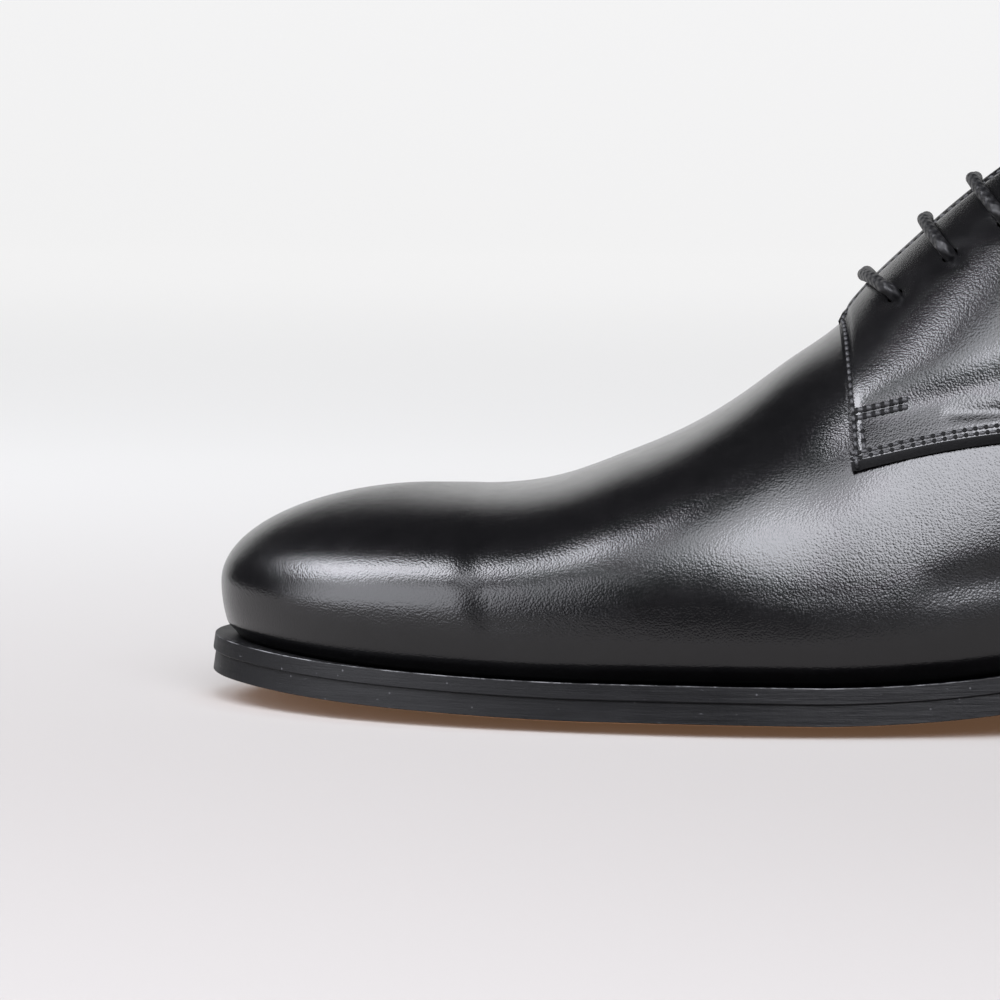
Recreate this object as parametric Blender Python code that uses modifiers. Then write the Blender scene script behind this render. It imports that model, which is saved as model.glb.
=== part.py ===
"""A plain-toe derby shoe for the left foot, in black calf on a leather sole.

The toe points to -X, the outer side of the foot to -Y, and the shoe stands on z = 0. Every form
is worked out from one last: a plan outline, a sole profile and a row of cross sections. All sizes
are in millimetres, and "along" is the distance from the tip of the toe.
"""

import math
from collections import namedtuple
from functools import lru_cache

import bmesh
import bpy
import numpy as np
from mathutils import Matrix, Vector

for leftover in list(bpy.data.objects):
    bpy.data.objects.remove(leftover)
SHOE = bpy.data.collections.new("derby shoe")
CUTTERS = bpy.data.collections.new("cutters")
for group in (SHOE, CUTTERS):
    bpy.context.scene.collection.children.link(group)

MM = 0.001
OUTER, INNER = -1, 1

# Driving sizes
LENGTH = 300.0
GAP = 0.3
OUTSOLE_THICK = 4.0
WELT_THICK = 2.4
WELT_WIDTH = 11.0
UPPER_WALL = 1.8
QUARTER_THICK = 1.3
QUARTER_GAP = 0.35
INSOLE_THICK = 2.4
INSOLE_GAP = 0.45
TONGUE_THICK = 1.6
TONGUE_UNDER = 2.8
HEEL_BREAST = 224.0
TOP_PIECE_THICK = 6.0
HEEL_TAPER = 0.965
EDGE_ROUND = 0.5
FLAT_TREAD = 0.5

# Lacing: five pairs of punched eyelets, with straight bars of round lace
EYELETS = 5
EYELET_FIRST = 126.2
EYELET_PITCH = 12.7
EYELET_REACH = 22.0
EYELET_RADIUS = 2.1
EYELET_SIDES = 10
LACE_RADIUS = 1.3
LACE_CLEAR = 0.3
LACE_SINK = 0.9
PUNCH_DEPTH = 10.0
FACING_SLOPE = math.radians(41.0)

# Plan of the sole edge: how far each side lies from the long axis
Outline = namedtuple("Outline", "along outer inner")
TOE_TIP = (0.0, 5.0)
HEEL_END = (LENGTH, 0.7)
OUTLINE = [
    Outline(4, 11.0, 21.0),
    Outline(10, 19.4, 28.6),
    Outline(20, 28.8, 36.2),
    Outline(35, 38.0, 42.8),
    Outline(50, 44.0, 47.2),
    Outline(70, 49.0, 50.8),
    Outline(90, 51.9, 52.5),
    Outline(105, 52.5, 51.8),
    Outline(120, 51.4, 48.8),
    Outline(140, 47.8, 42.2),
    Outline(160, 42.9, 35.6),
    Outline(180, 38.6, 31.0),
    Outline(200, 35.6, 29.6),
    Outline(220, 34.4, 30.8),
    Outline(240, 34.4, 33.0),
    Outline(260, 33.8, 34.2),
    Outline(275, 30.2, 31.4),
    Outline(287, 22.9, 24.3),
    Outline(295, 13.6, 15.0),
]

# Sole profile: underside height on the axis, rise of its edge, and width of welt that shows
Profile = namedtuple("Profile", "along bottom curl welt")
PROFILE = [
    Profile(0, 4.6, 0.6, 3.3),
    Profile(20, 2.5, 1.2, 4.2),
    Profile(45, 0.8, 1.9, 4.7),
    Profile(68, 0.06, 2.2, 4.8),
    Profile(82, -0.05, 2.3, 4.8),
    Profile(97, -0.06, 2.3, 4.8),
    Profile(112, -0.05, 2.2, 4.6),
    Profile(126, 0.5, 2.0, 4.2),
    Profile(142, 2.1, 1.6, 3.8),
    Profile(160, 5.3, 1.2, 3.4),
    Profile(180, 10.0, 0.7, 3.0),
    Profile(200, 14.9, 0.2, 2.8),
    Profile(222, 19.3, 0.0, 2.9),
    Profile(240, 21.3, 0.0, 3.1),
    Profile(262, 22.2, 0.0, 3.4),
    Profile(300, 22.8, 0.0, 3.6),
]

# Cross sections of the last: ridge height and its place across, how far and how high each wall
# bellies over the welt, and how full the crown is (2 is an ellipse). Behind the throat the crown
# is open, and its height only sets how the quarters lean in.
Section = namedtuple("Section", "along crown centre belly_outer belly_inner belly_up fullness")
SECTIONS = [
    Section(42, 39.2, 5.0, 1.8, 1.8, 9.5, 2.12),
    Section(50, 39.0, 5.2, 1.8, 1.8, 10.3, 2.14),
    Section(58, 39.4, 5.4, 1.9, 1.9, 11.2, 2.16),
    Section(66, 41.2, 5.6, 2.0, 2.0, 12.0, 2.16),
    Section(74, 44.2, 5.7, 2.2, 2.2, 12.7, 2.14),
    Section(82, 47.4, 5.8, 2.4, 2.4, 13.4, 2.10),
    Section(90, 51.4, 5.8, 2.5, 2.6, 14.0, 2.06),
    Section(98, 56.6, 5.8, 2.6, 2.8, 14.6, 2.01),
    Section(106, 62.5, 5.7, 2.6, 3.1, 15.2, 1.96),
    Section(114, 68.2, 5.6, 2.6, 3.4, 15.8, 1.91),
    Section(121, 75.2, 5.4, 2.6, 3.6, 16.4, 1.87),
    Section(128, 82.0, 5.2, 2.6, 3.8, 17.0, 1.84),
    Section(136, 89.4, 4.8, 2.5, 4.0, 17.7, 1.82),
    Section(144, 96.0, 4.4, 2.4, 4.1, 18.4, 1.81),
    Section(156, 104.3, 3.8, 2.3, 4.2, 19.4, 1.82),
    Section(170, 112.0, 3.0, 2.2, 4.2, 20.4, 1.86),
    Section(190, 117.6, 2.0, 2.3, 3.9, 21.4, 1.92),
    Section(215, 119.4, 1.0, 2.2, 3.0, 22.0, 1.98),
    Section(240, 120.6, 0.5, 2.0, 2.2, 22.2, 2.02),
    Section(262, 126.0, 0.5, 1.8, 1.8, 22.4, 2.05),
]
TOE_SPINE, TOE_FAN = SECTIONS[0].along, 75.0
HEEL_SPINE, HEEL_FAN = SECTIONS[-1].along, 230.0

# Collar line: height of the top edge of the upper
Collar = namedtuple("Collar", "along outer inner")
COLLAR = [
    Collar(160, 113.0, 113.0),
    Collar(168, 112.0, 112.0),
    Collar(173, 107.6, 108.0),
    Collar(180, 99.6, 100.6),
    Collar(190, 90.6, 92.0),
    Collar(205, 83.0, 84.8),
    Collar(222, 79.6, 81.6),
    Collar(240, 79.2, 80.8),
    Collar(258, 81.6, 82.4),
    Collar(275, 86.4, 86.6),
    Collar(290, 90.8, 90.8),
    Collar(300, 92.0, 92.0),
]

# Quarter seam: height of the quarters' lower edge, from the front corner back to the sole
Seam = namedtuple("Seam", "along height")
SEAM = [
    Seam(119.4, 45.0),
    Seam(130, 47.7),
    Seam(144, 50.1),
    Seam(157, 50.8),
    Seam(170, 48.8),
    Seam(182, 43.9),
    Seam(193, 35.6),
    Seam(203, 24.0),
    Seam(207, 18.0),
]
SEAM_FOOT = 207.0
QUARTER_FRONT_LOW, QUARTER_FRONT_TOP = SEAM[0].along, 116.2
QUARTER_FOOT_RISE = 1.3
BACK_SEAM = 1 - 0.5 * GAP / LENGTH
THROAT_CORNER = 8.5
FACING_LIFT, FACING_LIFT_REACH = 0.5, 12.0
FACING_TOP = 169.0

# Throat: half the gap between the two facings, and the slot in the wall under them
Throat = namedtuple("Throat", "along half_gap")
THROAT = [Throat(114, 5.4), Throat(130, 5.8), Throat(150, 6.8), Throat(172, 8.2)]
SLOT_START, SLOT_FULL, SLOT_BACK = 123.0, 131.0, 0.6

# Tongue: half width, and how far its free end lifts over the line of the instep
Tongue = namedtuple("Tongue", "along half_width lift")
TONGUE = [
    Tongue(116, 13.0, 0.0),
    Tongue(124, 18.0, 0.0),
    Tongue(138, 22.0, 0.0),
    Tongue(155, 25.0, 0.0),
    Tongue(168, 27.0, 0.0),
    Tongue(176, 27.0, 0.4),
    Tongue(183, 25.0, 2.2),
    Tongue(188, 19.0, 4.0),
]

# Mesh steps of each form: columns from toe to heel, rows up the wall or across
Pace = namedtuple("Pace", "column along")
PACES = [Pace(0, 0), Pace(15, 108), Pace(22, 132), Pace(32, 190), Pace(44, LENGTH)]
COLUMNS = PACES[-1].column
QUARTER_COLUMN, QUARTER_BLEND = 17, 4
UPPER_ROWS, QUARTER_ROWS = 10, 7
SOLE_STEPS = (36, 3)
WELT_STEPS = (36, 1)
INSOLE_STEPS = (28, 3)
HEEL_STEPS = (8, 1)
TONGUE_STEPS = (12, 8)
LACE_BEND_STEPS, LACE_OVER_STEPS = 4, 3
OUTLINE_SAMPLES = 1500
WALL_SAMPLES, CROWN_SAMPLES = 40, 160
WELD_DISTANCE = 0.01


def spline(knots, values, closed=False):
    """Cubic curve through the values at the knots. A closed one runs smoothly over its joint."""
    knots = np.asarray(knots, float)
    values = np.asarray(values, float).reshape(len(knots), -1)
    steps = np.diff(knots)
    slopes = np.diff(values, axis=0) / steps[:, None]
    matrix = np.zeros((len(knots), len(knots)))
    turns = np.zeros_like(values)
    for i in range(1, len(knots) - 1):
        matrix[i, i - 1 : i + 2] = steps[i - 1], 2 * (steps[i - 1] + steps[i]), steps[i]
        turns[i] = 6 * (slopes[i] - slopes[i - 1])
    if closed:
        matrix[0, 0], matrix[0, -1] = 1, -1
        matrix[-1, [0, 1, -2, -1]] = 2 * steps[0], steps[0], steps[-1], 2 * steps[-1]
        turns[-1] = 6 * (slopes[0] - slopes[-1])
    else:
        matrix[0, 0] = matrix[-1, -1] = 1
    bends = np.linalg.solve(matrix, turns)

    def at(knot):
        i = int(np.clip(np.searchsorted(knots, knot) - 1, 0, len(steps) - 1))
        far, near = (knots[i + 1] - knot) / steps[i], (knot - knots[i]) / steps[i]
        bow = (far**3 - far) * bends[i] + (near**3 - near) * bends[i + 1]
        return far * values[i] + near * values[i + 1] + bow * steps[i] ** 2 / 6

    return at


def reader(rows, column):
    """A smooth function of the distance along the shoe, through one column of a table."""
    curve = spline([row.along for row in rows], [getattr(row, column) for row in rows])
    first, last = rows[0].along, rows[-1].along
    return lambda along: float(curve(min(max(along, first), last))[0])


bottom_at, curl_at, welt_at = (reader(PROFILE, name) for name in Profile._fields[1:])
crown_at, centre_at = reader(SECTIONS, "crown"), reader(SECTIONS, "centre")
belly_at = {OUTER: reader(SECTIONS, "belly_outer"), INNER: reader(SECTIONS, "belly_inner")}
belly_up_at, fullness_at = reader(SECTIONS, "belly_up"), reader(SECTIONS, "fullness")
collar_at = {OUTER: reader(COLLAR, "outer"), INNER: reader(COLLAR, "inner")}
seam_at = reader(SEAM, "height")
half_gap_at = reader(THROAT, "half_gap")
tongue_width_at, tongue_lift_at = reader(TONGUE, "half_width"), reader(TONGUE, "lift")


def outline_halves():
    """Close points of the sole edge from toe to heel, and its outward direction, on each side."""
    outer = [(row.along, -row.outer) for row in OUTLINE]
    inner = [(row.along, row.inner) for row in OUTLINE]
    loop = np.array([TOE_TIP, *outer, HEEL_END, *inner[::-1], TOE_TIP])
    knots = np.append(0, np.cumsum(np.linalg.norm(np.diff(loop, axis=0), axis=1)))
    curve = spline(knots, loop, closed=True)
    heel = knots[len(OUTLINE) + 1]
    halves = {}
    for side, start in ((OUTER, 0), (INNER, knots[-1])):
        points = np.array([curve(knot) for knot in np.linspace(start, heel, OUTLINE_SAMPLES)])
        points[:, 0] = np.maximum.accumulate(points[:, 0])
        ahead = np.gradient(points, axis=0)
        ahead /= np.linalg.norm(ahead, axis=1)[:, None]
        ahead[0], ahead[-1] = (0, side), (0, -side)
        outward = np.column_stack((-ahead[:, 1], ahead[:, 0])) * side
        halves[side] = points, outward
    return halves


HALVES = outline_halves()
SHARES = np.linspace(0, 1, OUTLINE_SAMPLES)
OUTER_ALONG = HALVES[OUTER][0][:, 0]


def station_along(share):
    """Distance along the shoe at a share of the outer edge's length, from toe to heel."""
    return float(np.interp(share, SHARES, OUTER_ALONG))


def station_share(along):
    """Share of the outer edge's length, from toe to heel, at a distance along the shoe."""
    return float(np.interp(along, OUTER_ALONG, SHARES))


def column_share(column):
    """Share of the outer edge's length at a column of the upper's mesh."""
    shares = [station_share(pace.along) for pace in PACES]
    return float(np.interp(column, [pace.column for pace in PACES], shares))


def edge_point(side, share, inset):
    """Point of the sole edge in plan, moved in from the edge by inset."""
    points, outward = HALVES[side]
    where = share
    if side == INNER and 0 < share < 1:
        where = np.interp(station_along(share), points[:, 0], SHARES)
    point = [np.interp(where, SHARES, points[:, axis]) for axis in (0, 1)]
    way = [np.interp(where, SHARES, outward[:, axis]) for axis in (0, 1)]
    return np.array(point) - inset * np.array(way)


def spine_along(along):
    """Where a section starts on the ridge. At the toe and the heel the sections fan out."""
    if along < TOE_FAN:
        run = TOE_FAN - TOE_SPINE
        return TOE_SPINE + run * (along / TOE_FAN) ** (TOE_FAN / run)
    if along > HEEL_FAN:
        run, fan = HEEL_SPINE - HEEL_FAN, LENGTH - HEEL_FAN
        return HEEL_SPINE - run * ((LENGTH - along) / fan) ** (fan / run)
    return along


def spine_point(share):
    """Foot of the ridge in plan, where a section starts."""
    along = spine_along(station_along(share))
    return np.array((along, centre_at(along)))


def underside(along, spread):
    """Height of the sole's underside, where spread is 0 on the axis and 1 at the edge."""
    rise = max(0.0, (spread - FLAT_TREAD) / (1 - FLAT_TREAD)) ** 2
    return max(0.0, bottom_at(along)) + curl_at(along) * rise


def bed_point(side, share, spread, inset, height):
    """Point of a sole layer: spread runs from the ridge line to its edge, inset from the sole's."""
    spine, edge = spine_point(share), edge_point(side, share, 0)
    rim = edge_point(side, share, inset)
    plan = spine + spread * (rim - spine)
    true_spread = np.linalg.norm(plan - spine) / np.linalg.norm(edge - spine)
    return np.array((*plan, underside(plan[0], true_spread) + height))


Wall = namedtuple("Wall", "spine way reach height run")


@lru_cache(maxsize=None)
def wall_section(side, share):
    """One wall of a cross section, from the welt up and over to the ridge."""
    station = station_along(share)
    spine = spine_point(share)
    foot = edge_point(side, share, welt_at(station))
    spread = np.linalg.norm(foot - spine) / np.linalg.norm(edge_point(side, share, 0) - spine)
    low = underside(foot[0], spread) + OUTSOLE_THICK + WELT_THICK + 2 * GAP
    belly = belly_at[side](spine[0])
    widest = np.linalg.norm(foot - spine) + belly
    waist = low + belly_up_at(spine[0])
    lower = np.linspace(0, 1, WALL_SAMPLES, endpoint=False)
    turn = np.linspace(0, math.pi / 2, CROWN_SAMPLES)
    power = 2 / fullness_at(spine[0])
    cos, sin = np.clip(np.cos(turn), 0, 1) ** power, np.sin(turn) ** power
    cos[-1] = 0
    reach = np.append(widest - belly * (1 - lower) ** 2, widest * cos)
    height = np.append(low + (waist - low) * lower, waist + (crown_at(spine[0]) - waist) * sin)
    run = np.append(0, np.cumsum(np.hypot(np.diff(reach), np.diff(height))))
    way = (foot - spine) / np.linalg.norm(foot - spine)
    return Wall(spine, way, reach, height, run / run[-1])


def wall_point(side, share, climb):
    """Point of the last: climb is 0 at the welt and 1 on the ridge, by length up the wall."""
    wall = wall_section(side, round(share, 7))
    plan = wall.spine + wall.way * np.interp(climb, wall.run, wall.reach)
    return np.array((*plan, np.interp(climb, wall.run, wall.height)))


def climb_at_height(side, share, height):
    """Climb where the wall reaches a height."""
    wall = wall_section(side, round(share, 7))
    return float(np.interp(height, wall.height, wall.run))


def climb_at_reach(side, share, reach):
    """Climb where the wall comes within a reach of the ridge, above its widest place."""
    wall = wall_section(side, round(share, 7))
    widest = int(np.argmax(wall.reach))
    return float(np.interp(-reach, -wall.reach[widest:], wall.run[widest:]))


def skin_point(side, share, climb, lift):
    """Point lifted off the last along its own normal."""
    step = 1e-3
    before, after = max(0.0, share - step), min(1.0, share + step)
    down, up = max(0.0, climb - step), min(1.0, climb + step)
    level = min(climb, 1 - step)
    ahead = wall_point(side, after, level) - wall_point(side, before, level)
    upward = wall_point(side, share, up) - wall_point(side, share, down)
    normal = np.cross(ahead, upward) * -side
    normal /= np.linalg.norm(normal)
    return wall_point(side, share, climb) + lift * normal


def edge_reach(side, share, facing):
    """How far from the ridge line the top edge stops: the facing, then the collar."""
    along = station_along(share)
    wall = wall_section(side, round(share, 7))
    collar = collar_at[side](along) if along > COLLAR[0].along else math.inf
    top = climb_at_height(side, share, collar)
    return max(facing, float(np.interp(top, wall.run, wall.reach)))


def slot_half_width(along):
    """Half the slot in the upper's wall: closed over the vamp, then just behind the facings."""
    if along <= SLOT_START:
        return 0.0
    opening = min(1.0, (along - SLOT_START) / (SLOT_FULL - SLOT_START))
    return (half_gap_at(along) + SLOT_BACK) * math.sqrt(opening * (2 - opening))


def facing_half_gap(along):
    """Half the gap between the facings, with their rounded front corners."""
    left = max(0.0, QUARTER_FRONT_TOP + THROAT_CORNER - along)
    corner = THROAT_CORNER - math.sqrt(max(0.0, THROAT_CORNER**2 - left**2))
    return half_gap_at(along) + corner


def facing_lift(along, reach):
    """The facings spring a little off the instep along their edges."""
    fade = min(1.0, max(0.0, (FACING_TOP + THROAT_CORNER - along) / (2 * THROAT_CORNER)))
    back = max(0.0, reach - half_gap_at(along)) / FACING_LIFT_REACH
    return FACING_LIFT * fade * math.exp(-(back**2))


def quarter_point(side, share, climb, lift):
    """Point over the last at the quarter's level: lift 0 is its flesh side."""
    wall = wall_section(side, round(share, 7))
    spring = facing_lift(station_along(share), float(np.interp(climb, wall.run, wall.reach)))
    return skin_point(side, share, climb, QUARTER_GAP + spring + lift)


def lay_grid(mesh, steps, place):
    """Adds a sheet of steps[0] by steps[1] faces, and puts each corner at place(u, v), in mm."""
    made = bmesh.ops.create_grid(mesh, x_segments=steps[0], y_segments=steps[1], size=0.5)
    for vert in made["verts"]:
        vert.co = to_world(place(vert.co.x + 0.5, vert.co.y + 0.5))


def to_world(point):
    return Vector((point[0] - LENGTH / 2, point[1], point[2])) * MM


def weld(mesh):
    bmesh.ops.remove_doubles(mesh, verts=mesh.verts, dist=WELD_DISTANCE * MM)
    bmesh.ops.recalc_face_normals(mesh, faces=mesh.faces)


def face_out(mesh, direction):
    """Turns a sheet so that its furthest face in a direction looks that way."""
    direction = Vector(direction)
    far = max(mesh.faces, key=lambda face: face.calc_center_median().dot(direction))
    if far.normal.dot(direction) < 0:
        bmesh.ops.reverse_faces(mesh, faces=mesh.faces)


def finish_object(name, mesh, material):
    """Puts a mesh in the shoe's collection under its own name and material."""
    data = bpy.data.meshes.new(name)
    mesh.to_mesh(data)
    mesh.free()
    piece = bpy.data.objects.new(name, data)
    SHOE.objects.link(piece)
    data.materials.append(material)
    data.shade_smooth()
    return piece


def thicken(piece, thickness, outward=False):
    solid = piece.modifiers.new("Thickness", "SOLIDIFY")
    solid.thickness = thickness * MM
    solid.offset = 1 if outward else -1
    solid.use_even_offset = True
    solid.use_quality_normals = True


def round_edges(piece):
    bevel = piece.modifiers.new("Rounded edges", "BEVEL")
    bevel.width = EDGE_ROUND * MM
    bevel.segments = 1
    bevel.limit_method = "ANGLE"
    bevel.angle_limit = math.radians(50)


def make_material(name, colour, roughness):
    material = bpy.data.materials.new(name)
    material.use_nodes = True
    shader = material.node_tree.nodes["Principled BSDF"]
    shader.inputs["Base Color"].default_value = (*colour, 1)
    shader.inputs["Roughness"].default_value = roughness
    shader.inputs["Metallic"].default_value = 0
    return material


def make_sole_layer(name, steps, place_on, thickness, material):
    """A layer of the sole, laid from its underside by place_on and thickened upwards."""
    mesh = bmesh.new()
    for side in (OUTER, INNER):
        lay_grid(mesh, steps, lambda u, v, side=side: place_on(side, u, v))
    weld(mesh)
    face_out(mesh, (0, 0, -1))
    piece = finish_object(name, mesh, material)
    thicken(piece, thickness)
    return piece


def make_sole():
    """Outsole, welt and insole, one over the other on the same bed."""
    welt_bed = OUTSOLE_THICK + GAP
    insole_bed = welt_bed + WELT_THICK + INSOLE_GAP

    def outsole_point(side, u, v):
        return bed_point(side, u, v, 0.0, 0.0)

    def welt_point(side, u, v):
        inset = (1 - v) * (WELT_WIDTH + welt_at(station_along(u)))
        return bed_point(side, u, 1.0, inset, welt_bed)

    def insole_point(side, u, v):
        inset = welt_at(station_along(u)) + UPPER_WALL + 2 * GAP
        return bed_point(side, u, v, inset, insole_bed)

    round_edges(make_sole_layer("outsole", SOLE_STEPS, outsole_point, OUTSOLE_THICK, SOLE_LEATHER))
    round_edges(make_sole_layer("welt", WELT_STEPS, welt_point, WELT_THICK, EDGE_LEATHER))
    make_sole_layer("insole", INSOLE_STEPS, insole_point, INSOLE_THICK, LINING_LEATHER)


def make_heel_block(name, top_at, bottom, taper_top, taper_bottom, material):
    """A lift of the heel inside the sole's outline: top_at gives its top from the sole above."""
    breast = station_share(HEEL_BREAST)
    mesh = bmesh.new()
    for side in (OUTER, INNER):

        def place(u, v, side=side):
            along, across, seat = bed_point(side, breast + u * (1 - breast), v, 0.0, 0.0)
            return along, across, top_at(seat)

        lay_grid(mesh, HEEL_STEPS, place)
    weld(mesh)
    middle = to_world(((HEEL_BREAST + LENGTH) / 2, HEEL_END[1], 0))
    made = bmesh.ops.extrude_face_region(mesh, geom=mesh.faces[:], use_keep_orig=True)
    lower = [item for item in made["geom"] if isinstance(item, bmesh.types.BMVert)]
    upper = [vert for vert in mesh.verts if vert not in set(lower)]
    for verts, taper in ((upper, taper_top), (lower, taper_bottom)):
        scale = Matrix.Diagonal((taper, taper, 1, 1))
        bmesh.ops.transform(mesh, matrix=scale, verts=verts, space=Matrix.Translation(-middle))
    for vert in lower:
        vert.co.z = bottom * MM
    bmesh.ops.recalc_face_normals(mesh, faces=mesh.faces)
    round_edges(finish_object(name, mesh, material))


def make_heel():
    """The stacked block under the sole, then the top piece it stands on."""
    low = TOP_PIECE_THICK + GAP
    make_heel_block("heel", lambda seat: seat - GAP, low, 1.0, HEEL_TAPER, EDGE_LEATHER)
    lift = "heel_top_piece"
    make_heel_block(lift, lambda seat: TOP_PIECE_THICK, 0.0, HEEL_TAPER, HEEL_TAPER, RUBBER)


def make_upper():
    """The hollow wall of vamp, backs and lining, open at the throat, the collar and underneath."""
    mesh = bmesh.new()
    for side in (OUTER, INNER):

        def place(u, v, side=side):
            share = column_share(u * COLUMNS)
            slot = slot_half_width(station_along(share))
            top = climb_at_reach(side, share, edge_reach(side, share, slot))
            return wall_point(side, share, v * top)

        lay_grid(mesh, (COLUMNS, UPPER_ROWS), place)
    weld(mesh)
    face_out(mesh, (0, -1, 0))
    upper = finish_object("upper", mesh, CALF)
    thicken(upper, UPPER_WALL)
    return upper


def quarter_patch(side, u, v):
    """Share and climb of a point of the quarter: u from front edge to back seam, v upwards."""
    step = u * (COLUMNS - QUARTER_COLUMN)
    column = min(column_share(QUARTER_COLUMN + step), BACK_SEAM)
    front = max(0.0, 1 - step / QUARTER_BLEND) ** 2
    low_share = column + front * (station_share(QUARTER_FRONT_LOW) - column_share(QUARTER_COLUMN))
    high_share = column + front * (station_share(QUARTER_FRONT_TOP) - column_share(QUARTER_COLUMN))
    share = low_share + v * (high_share - low_share)
    along = station_along(low_share)
    welt_top = wall_point(side, low_share, 0.0)[2]
    foot = climb_at_height(side, low_share, welt_top + QUARTER_FOOT_RISE)
    if along < SEAM_FOOT:
        foot = max(foot, climb_at_height(side, low_share, seam_at(along)))
    facing = facing_half_gap(station_along(high_share))
    top = climb_at_reach(side, high_share, edge_reach(side, high_share, facing))
    return share, foot + v * (top - foot)


def make_quarter(name, side):
    """One quarter: the overlay with the facing, sewn over the vamp and round to the back seam."""
    mesh = bmesh.new()

    def place(u, v):
        share, climb = quarter_patch(side, u, v)
        return quarter_point(side, share, climb, 0.0)

    lay_grid(mesh, (COLUMNS - QUARTER_COLUMN, QUARTER_ROWS), place)
    weld(mesh)
    face_out(mesh, (0, side, 0))
    quarter = finish_object(name, mesh, CALF)
    thicken(quarter, QUARTER_THICK, outward=True)
    return quarter


def make_tongue():
    """The tongue under the facings, with its free end above them."""
    mesh = bmesh.new()
    first, last = TONGUE[0].along, TONGUE[-1].along

    def place(u, v):
        along = first + u * (last - first)
        out = 2 * v - 1
        across = out * tongue_width_at(along)
        side = INNER if across > 0 else OUTER
        share = station_share(along)
        climb = climb_at_reach(side, share, abs(across))
        point = skin_point(side, share, climb, -TONGUE_UNDER)
        point[2] += tongue_lift_at(along) * (1 - out**4)
        return point

    lay_grid(mesh, TONGUE_STEPS, place)
    weld(mesh)
    face_out(mesh, (0, 0, 1))
    tongue = finish_object("tongue", mesh, CALF)
    thicken(tongue, TONGUE_THICK)


def eyelet_frame(side, number):
    """Centre of an eyelet on the quarter's outer face, and the way out of it."""
    along = EYELET_FIRST + number * EYELET_PITCH * math.cos(FACING_SLOPE)
    share = station_share(along)
    climb = climb_at_reach(side, share, EYELET_REACH)
    inside = quarter_point(side, share, climb, 0.0)
    face = quarter_point(side, share, climb, QUARTER_THICK)
    return face, (face - inside) / np.linalg.norm(face - inside), along


def make_eyelet_punch(side):
    """Five punches through the quarter and the wall under it."""
    mesh = bmesh.new()
    for number in range(EYELETS):
        face, out, _ = eyelet_frame(side, number)
        turn = Vector((0, 0, 1)).rotation_difference(Vector(out)).to_matrix().to_4x4()
        bmesh.ops.create_cone(
            mesh,
            cap_ends=True,
            segments=EYELET_SIDES,
            radius1=EYELET_RADIUS * MM,
            radius2=EYELET_RADIUS * MM,
            depth=PUNCH_DEPTH * MM,
            matrix=Matrix.Translation(to_world(face)) @ turn,
        )
    data = bpy.data.meshes.new("eyelet_punch")
    mesh.to_mesh(data)
    mesh.free()
    punch = bpy.data.objects.new("eyelet_punch", data)
    CUTTERS.objects.link(punch)
    punch.hide_render = True
    punch.display_type = "WIRE"
    return punch


def punch_eyelets(piece, punch):
    cut = piece.modifiers.new("Eyelets", "BOOLEAN")
    cut.operation = "DIFFERENCE"
    cut.object = punch


def lace_half(side, number):
    """Path of one half of a bar: out of the eyelet, square over the facing, to its edge."""
    face, out, start = eyelet_frame(side, number)
    rise = LACE_RADIUS + LACE_CLEAR
    slope = np.array((math.cos(FACING_SLOPE), 0, math.sin(FACING_SLOPE)))
    over = []
    along = start
    for reach in np.linspace(EYELET_REACH - 2 * LACE_RADIUS, half_gap_at(start), LACE_OVER_STEPS):
        for _ in range(12):
            share = station_share(along)
            climb = climb_at_reach(side, share, reach)
            point = quarter_point(side, share, climb, QUARTER_THICK + rise)
            along -= float(np.dot(point - face, slope)) * math.cos(FACING_SLOPE)
        over.append(point)
    ahead = over[0] - face
    ahead -= out * np.dot(ahead, out)
    ahead /= np.linalg.norm(ahead)
    bend = LACE_RADIUS + GAP
    up = rise - bend
    hole = [face - out * LACE_SINK]
    for angle in np.linspace(0, math.pi / 2, LACE_BEND_STEPS):
        climb, run = up + bend * math.sin(angle), bend * (1 - math.cos(angle))
        hole.append(face + out * climb + ahead * run)
    return hole + over


def make_lace_bar(number):
    """A straight bar of lace between a pair of eyelets, over the gap between the facings."""
    route = lace_half(OUTER, number) + lace_half(INNER, number)[::-1]
    curve = bpy.data.curves.new(f"lace_bar_{number + 1}", "CURVE")
    curve.dimensions = "3D"
    curve.bevel_depth = LACE_RADIUS * MM
    curve.bevel_resolution = 2
    curve.use_fill_caps = True
    line = curve.splines.new("POLY")
    line.points.add(len(route) - 1)
    for point, place in zip(line.points, route):
        point.co = (*to_world(place), 1)
    curve.materials.append(LACE_CORD)
    SHOE.objects.link(bpy.data.objects.new(curve.name, curve))


CALF = make_material("black calf", (0.012, 0.012, 0.013), 0.32)
EDGE_LEATHER = make_material("blackened edge leather", (0.014, 0.014, 0.015), 0.42)
SOLE_LEATHER = make_material("sole leather", (0.42, 0.24, 0.13), 0.6)
LINING_LEATHER = make_material("lining leather", (0.46, 0.31, 0.19), 0.65)
RUBBER = make_material("black rubber", (0.02, 0.02, 0.02), 0.8)
LACE_CORD = make_material("waxed black cord", (0.014, 0.014, 0.015), 0.5)

make_sole()
make_heel()
upper_wall = make_upper()
make_tongue()
for quarter_name, quarter_side in (("quarter_outer", OUTER), ("quarter_inner", INNER)):
    quarter_piece = make_quarter(quarter_name, quarter_side)
    eyelet_punch = make_eyelet_punch(quarter_side)
    punch_eyelets(quarter_piece, eyelet_punch)
    punch_eyelets(upper_wall, eyelet_punch)
for bar in range(EYELETS):
    make_lace_bar(bar)
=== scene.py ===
import math
from collections import namedtuple

import bmesh
import bpy
import numpy as np
from mathutils import Matrix, Vector
from mathutils.bvhtree import BVHTree


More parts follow.
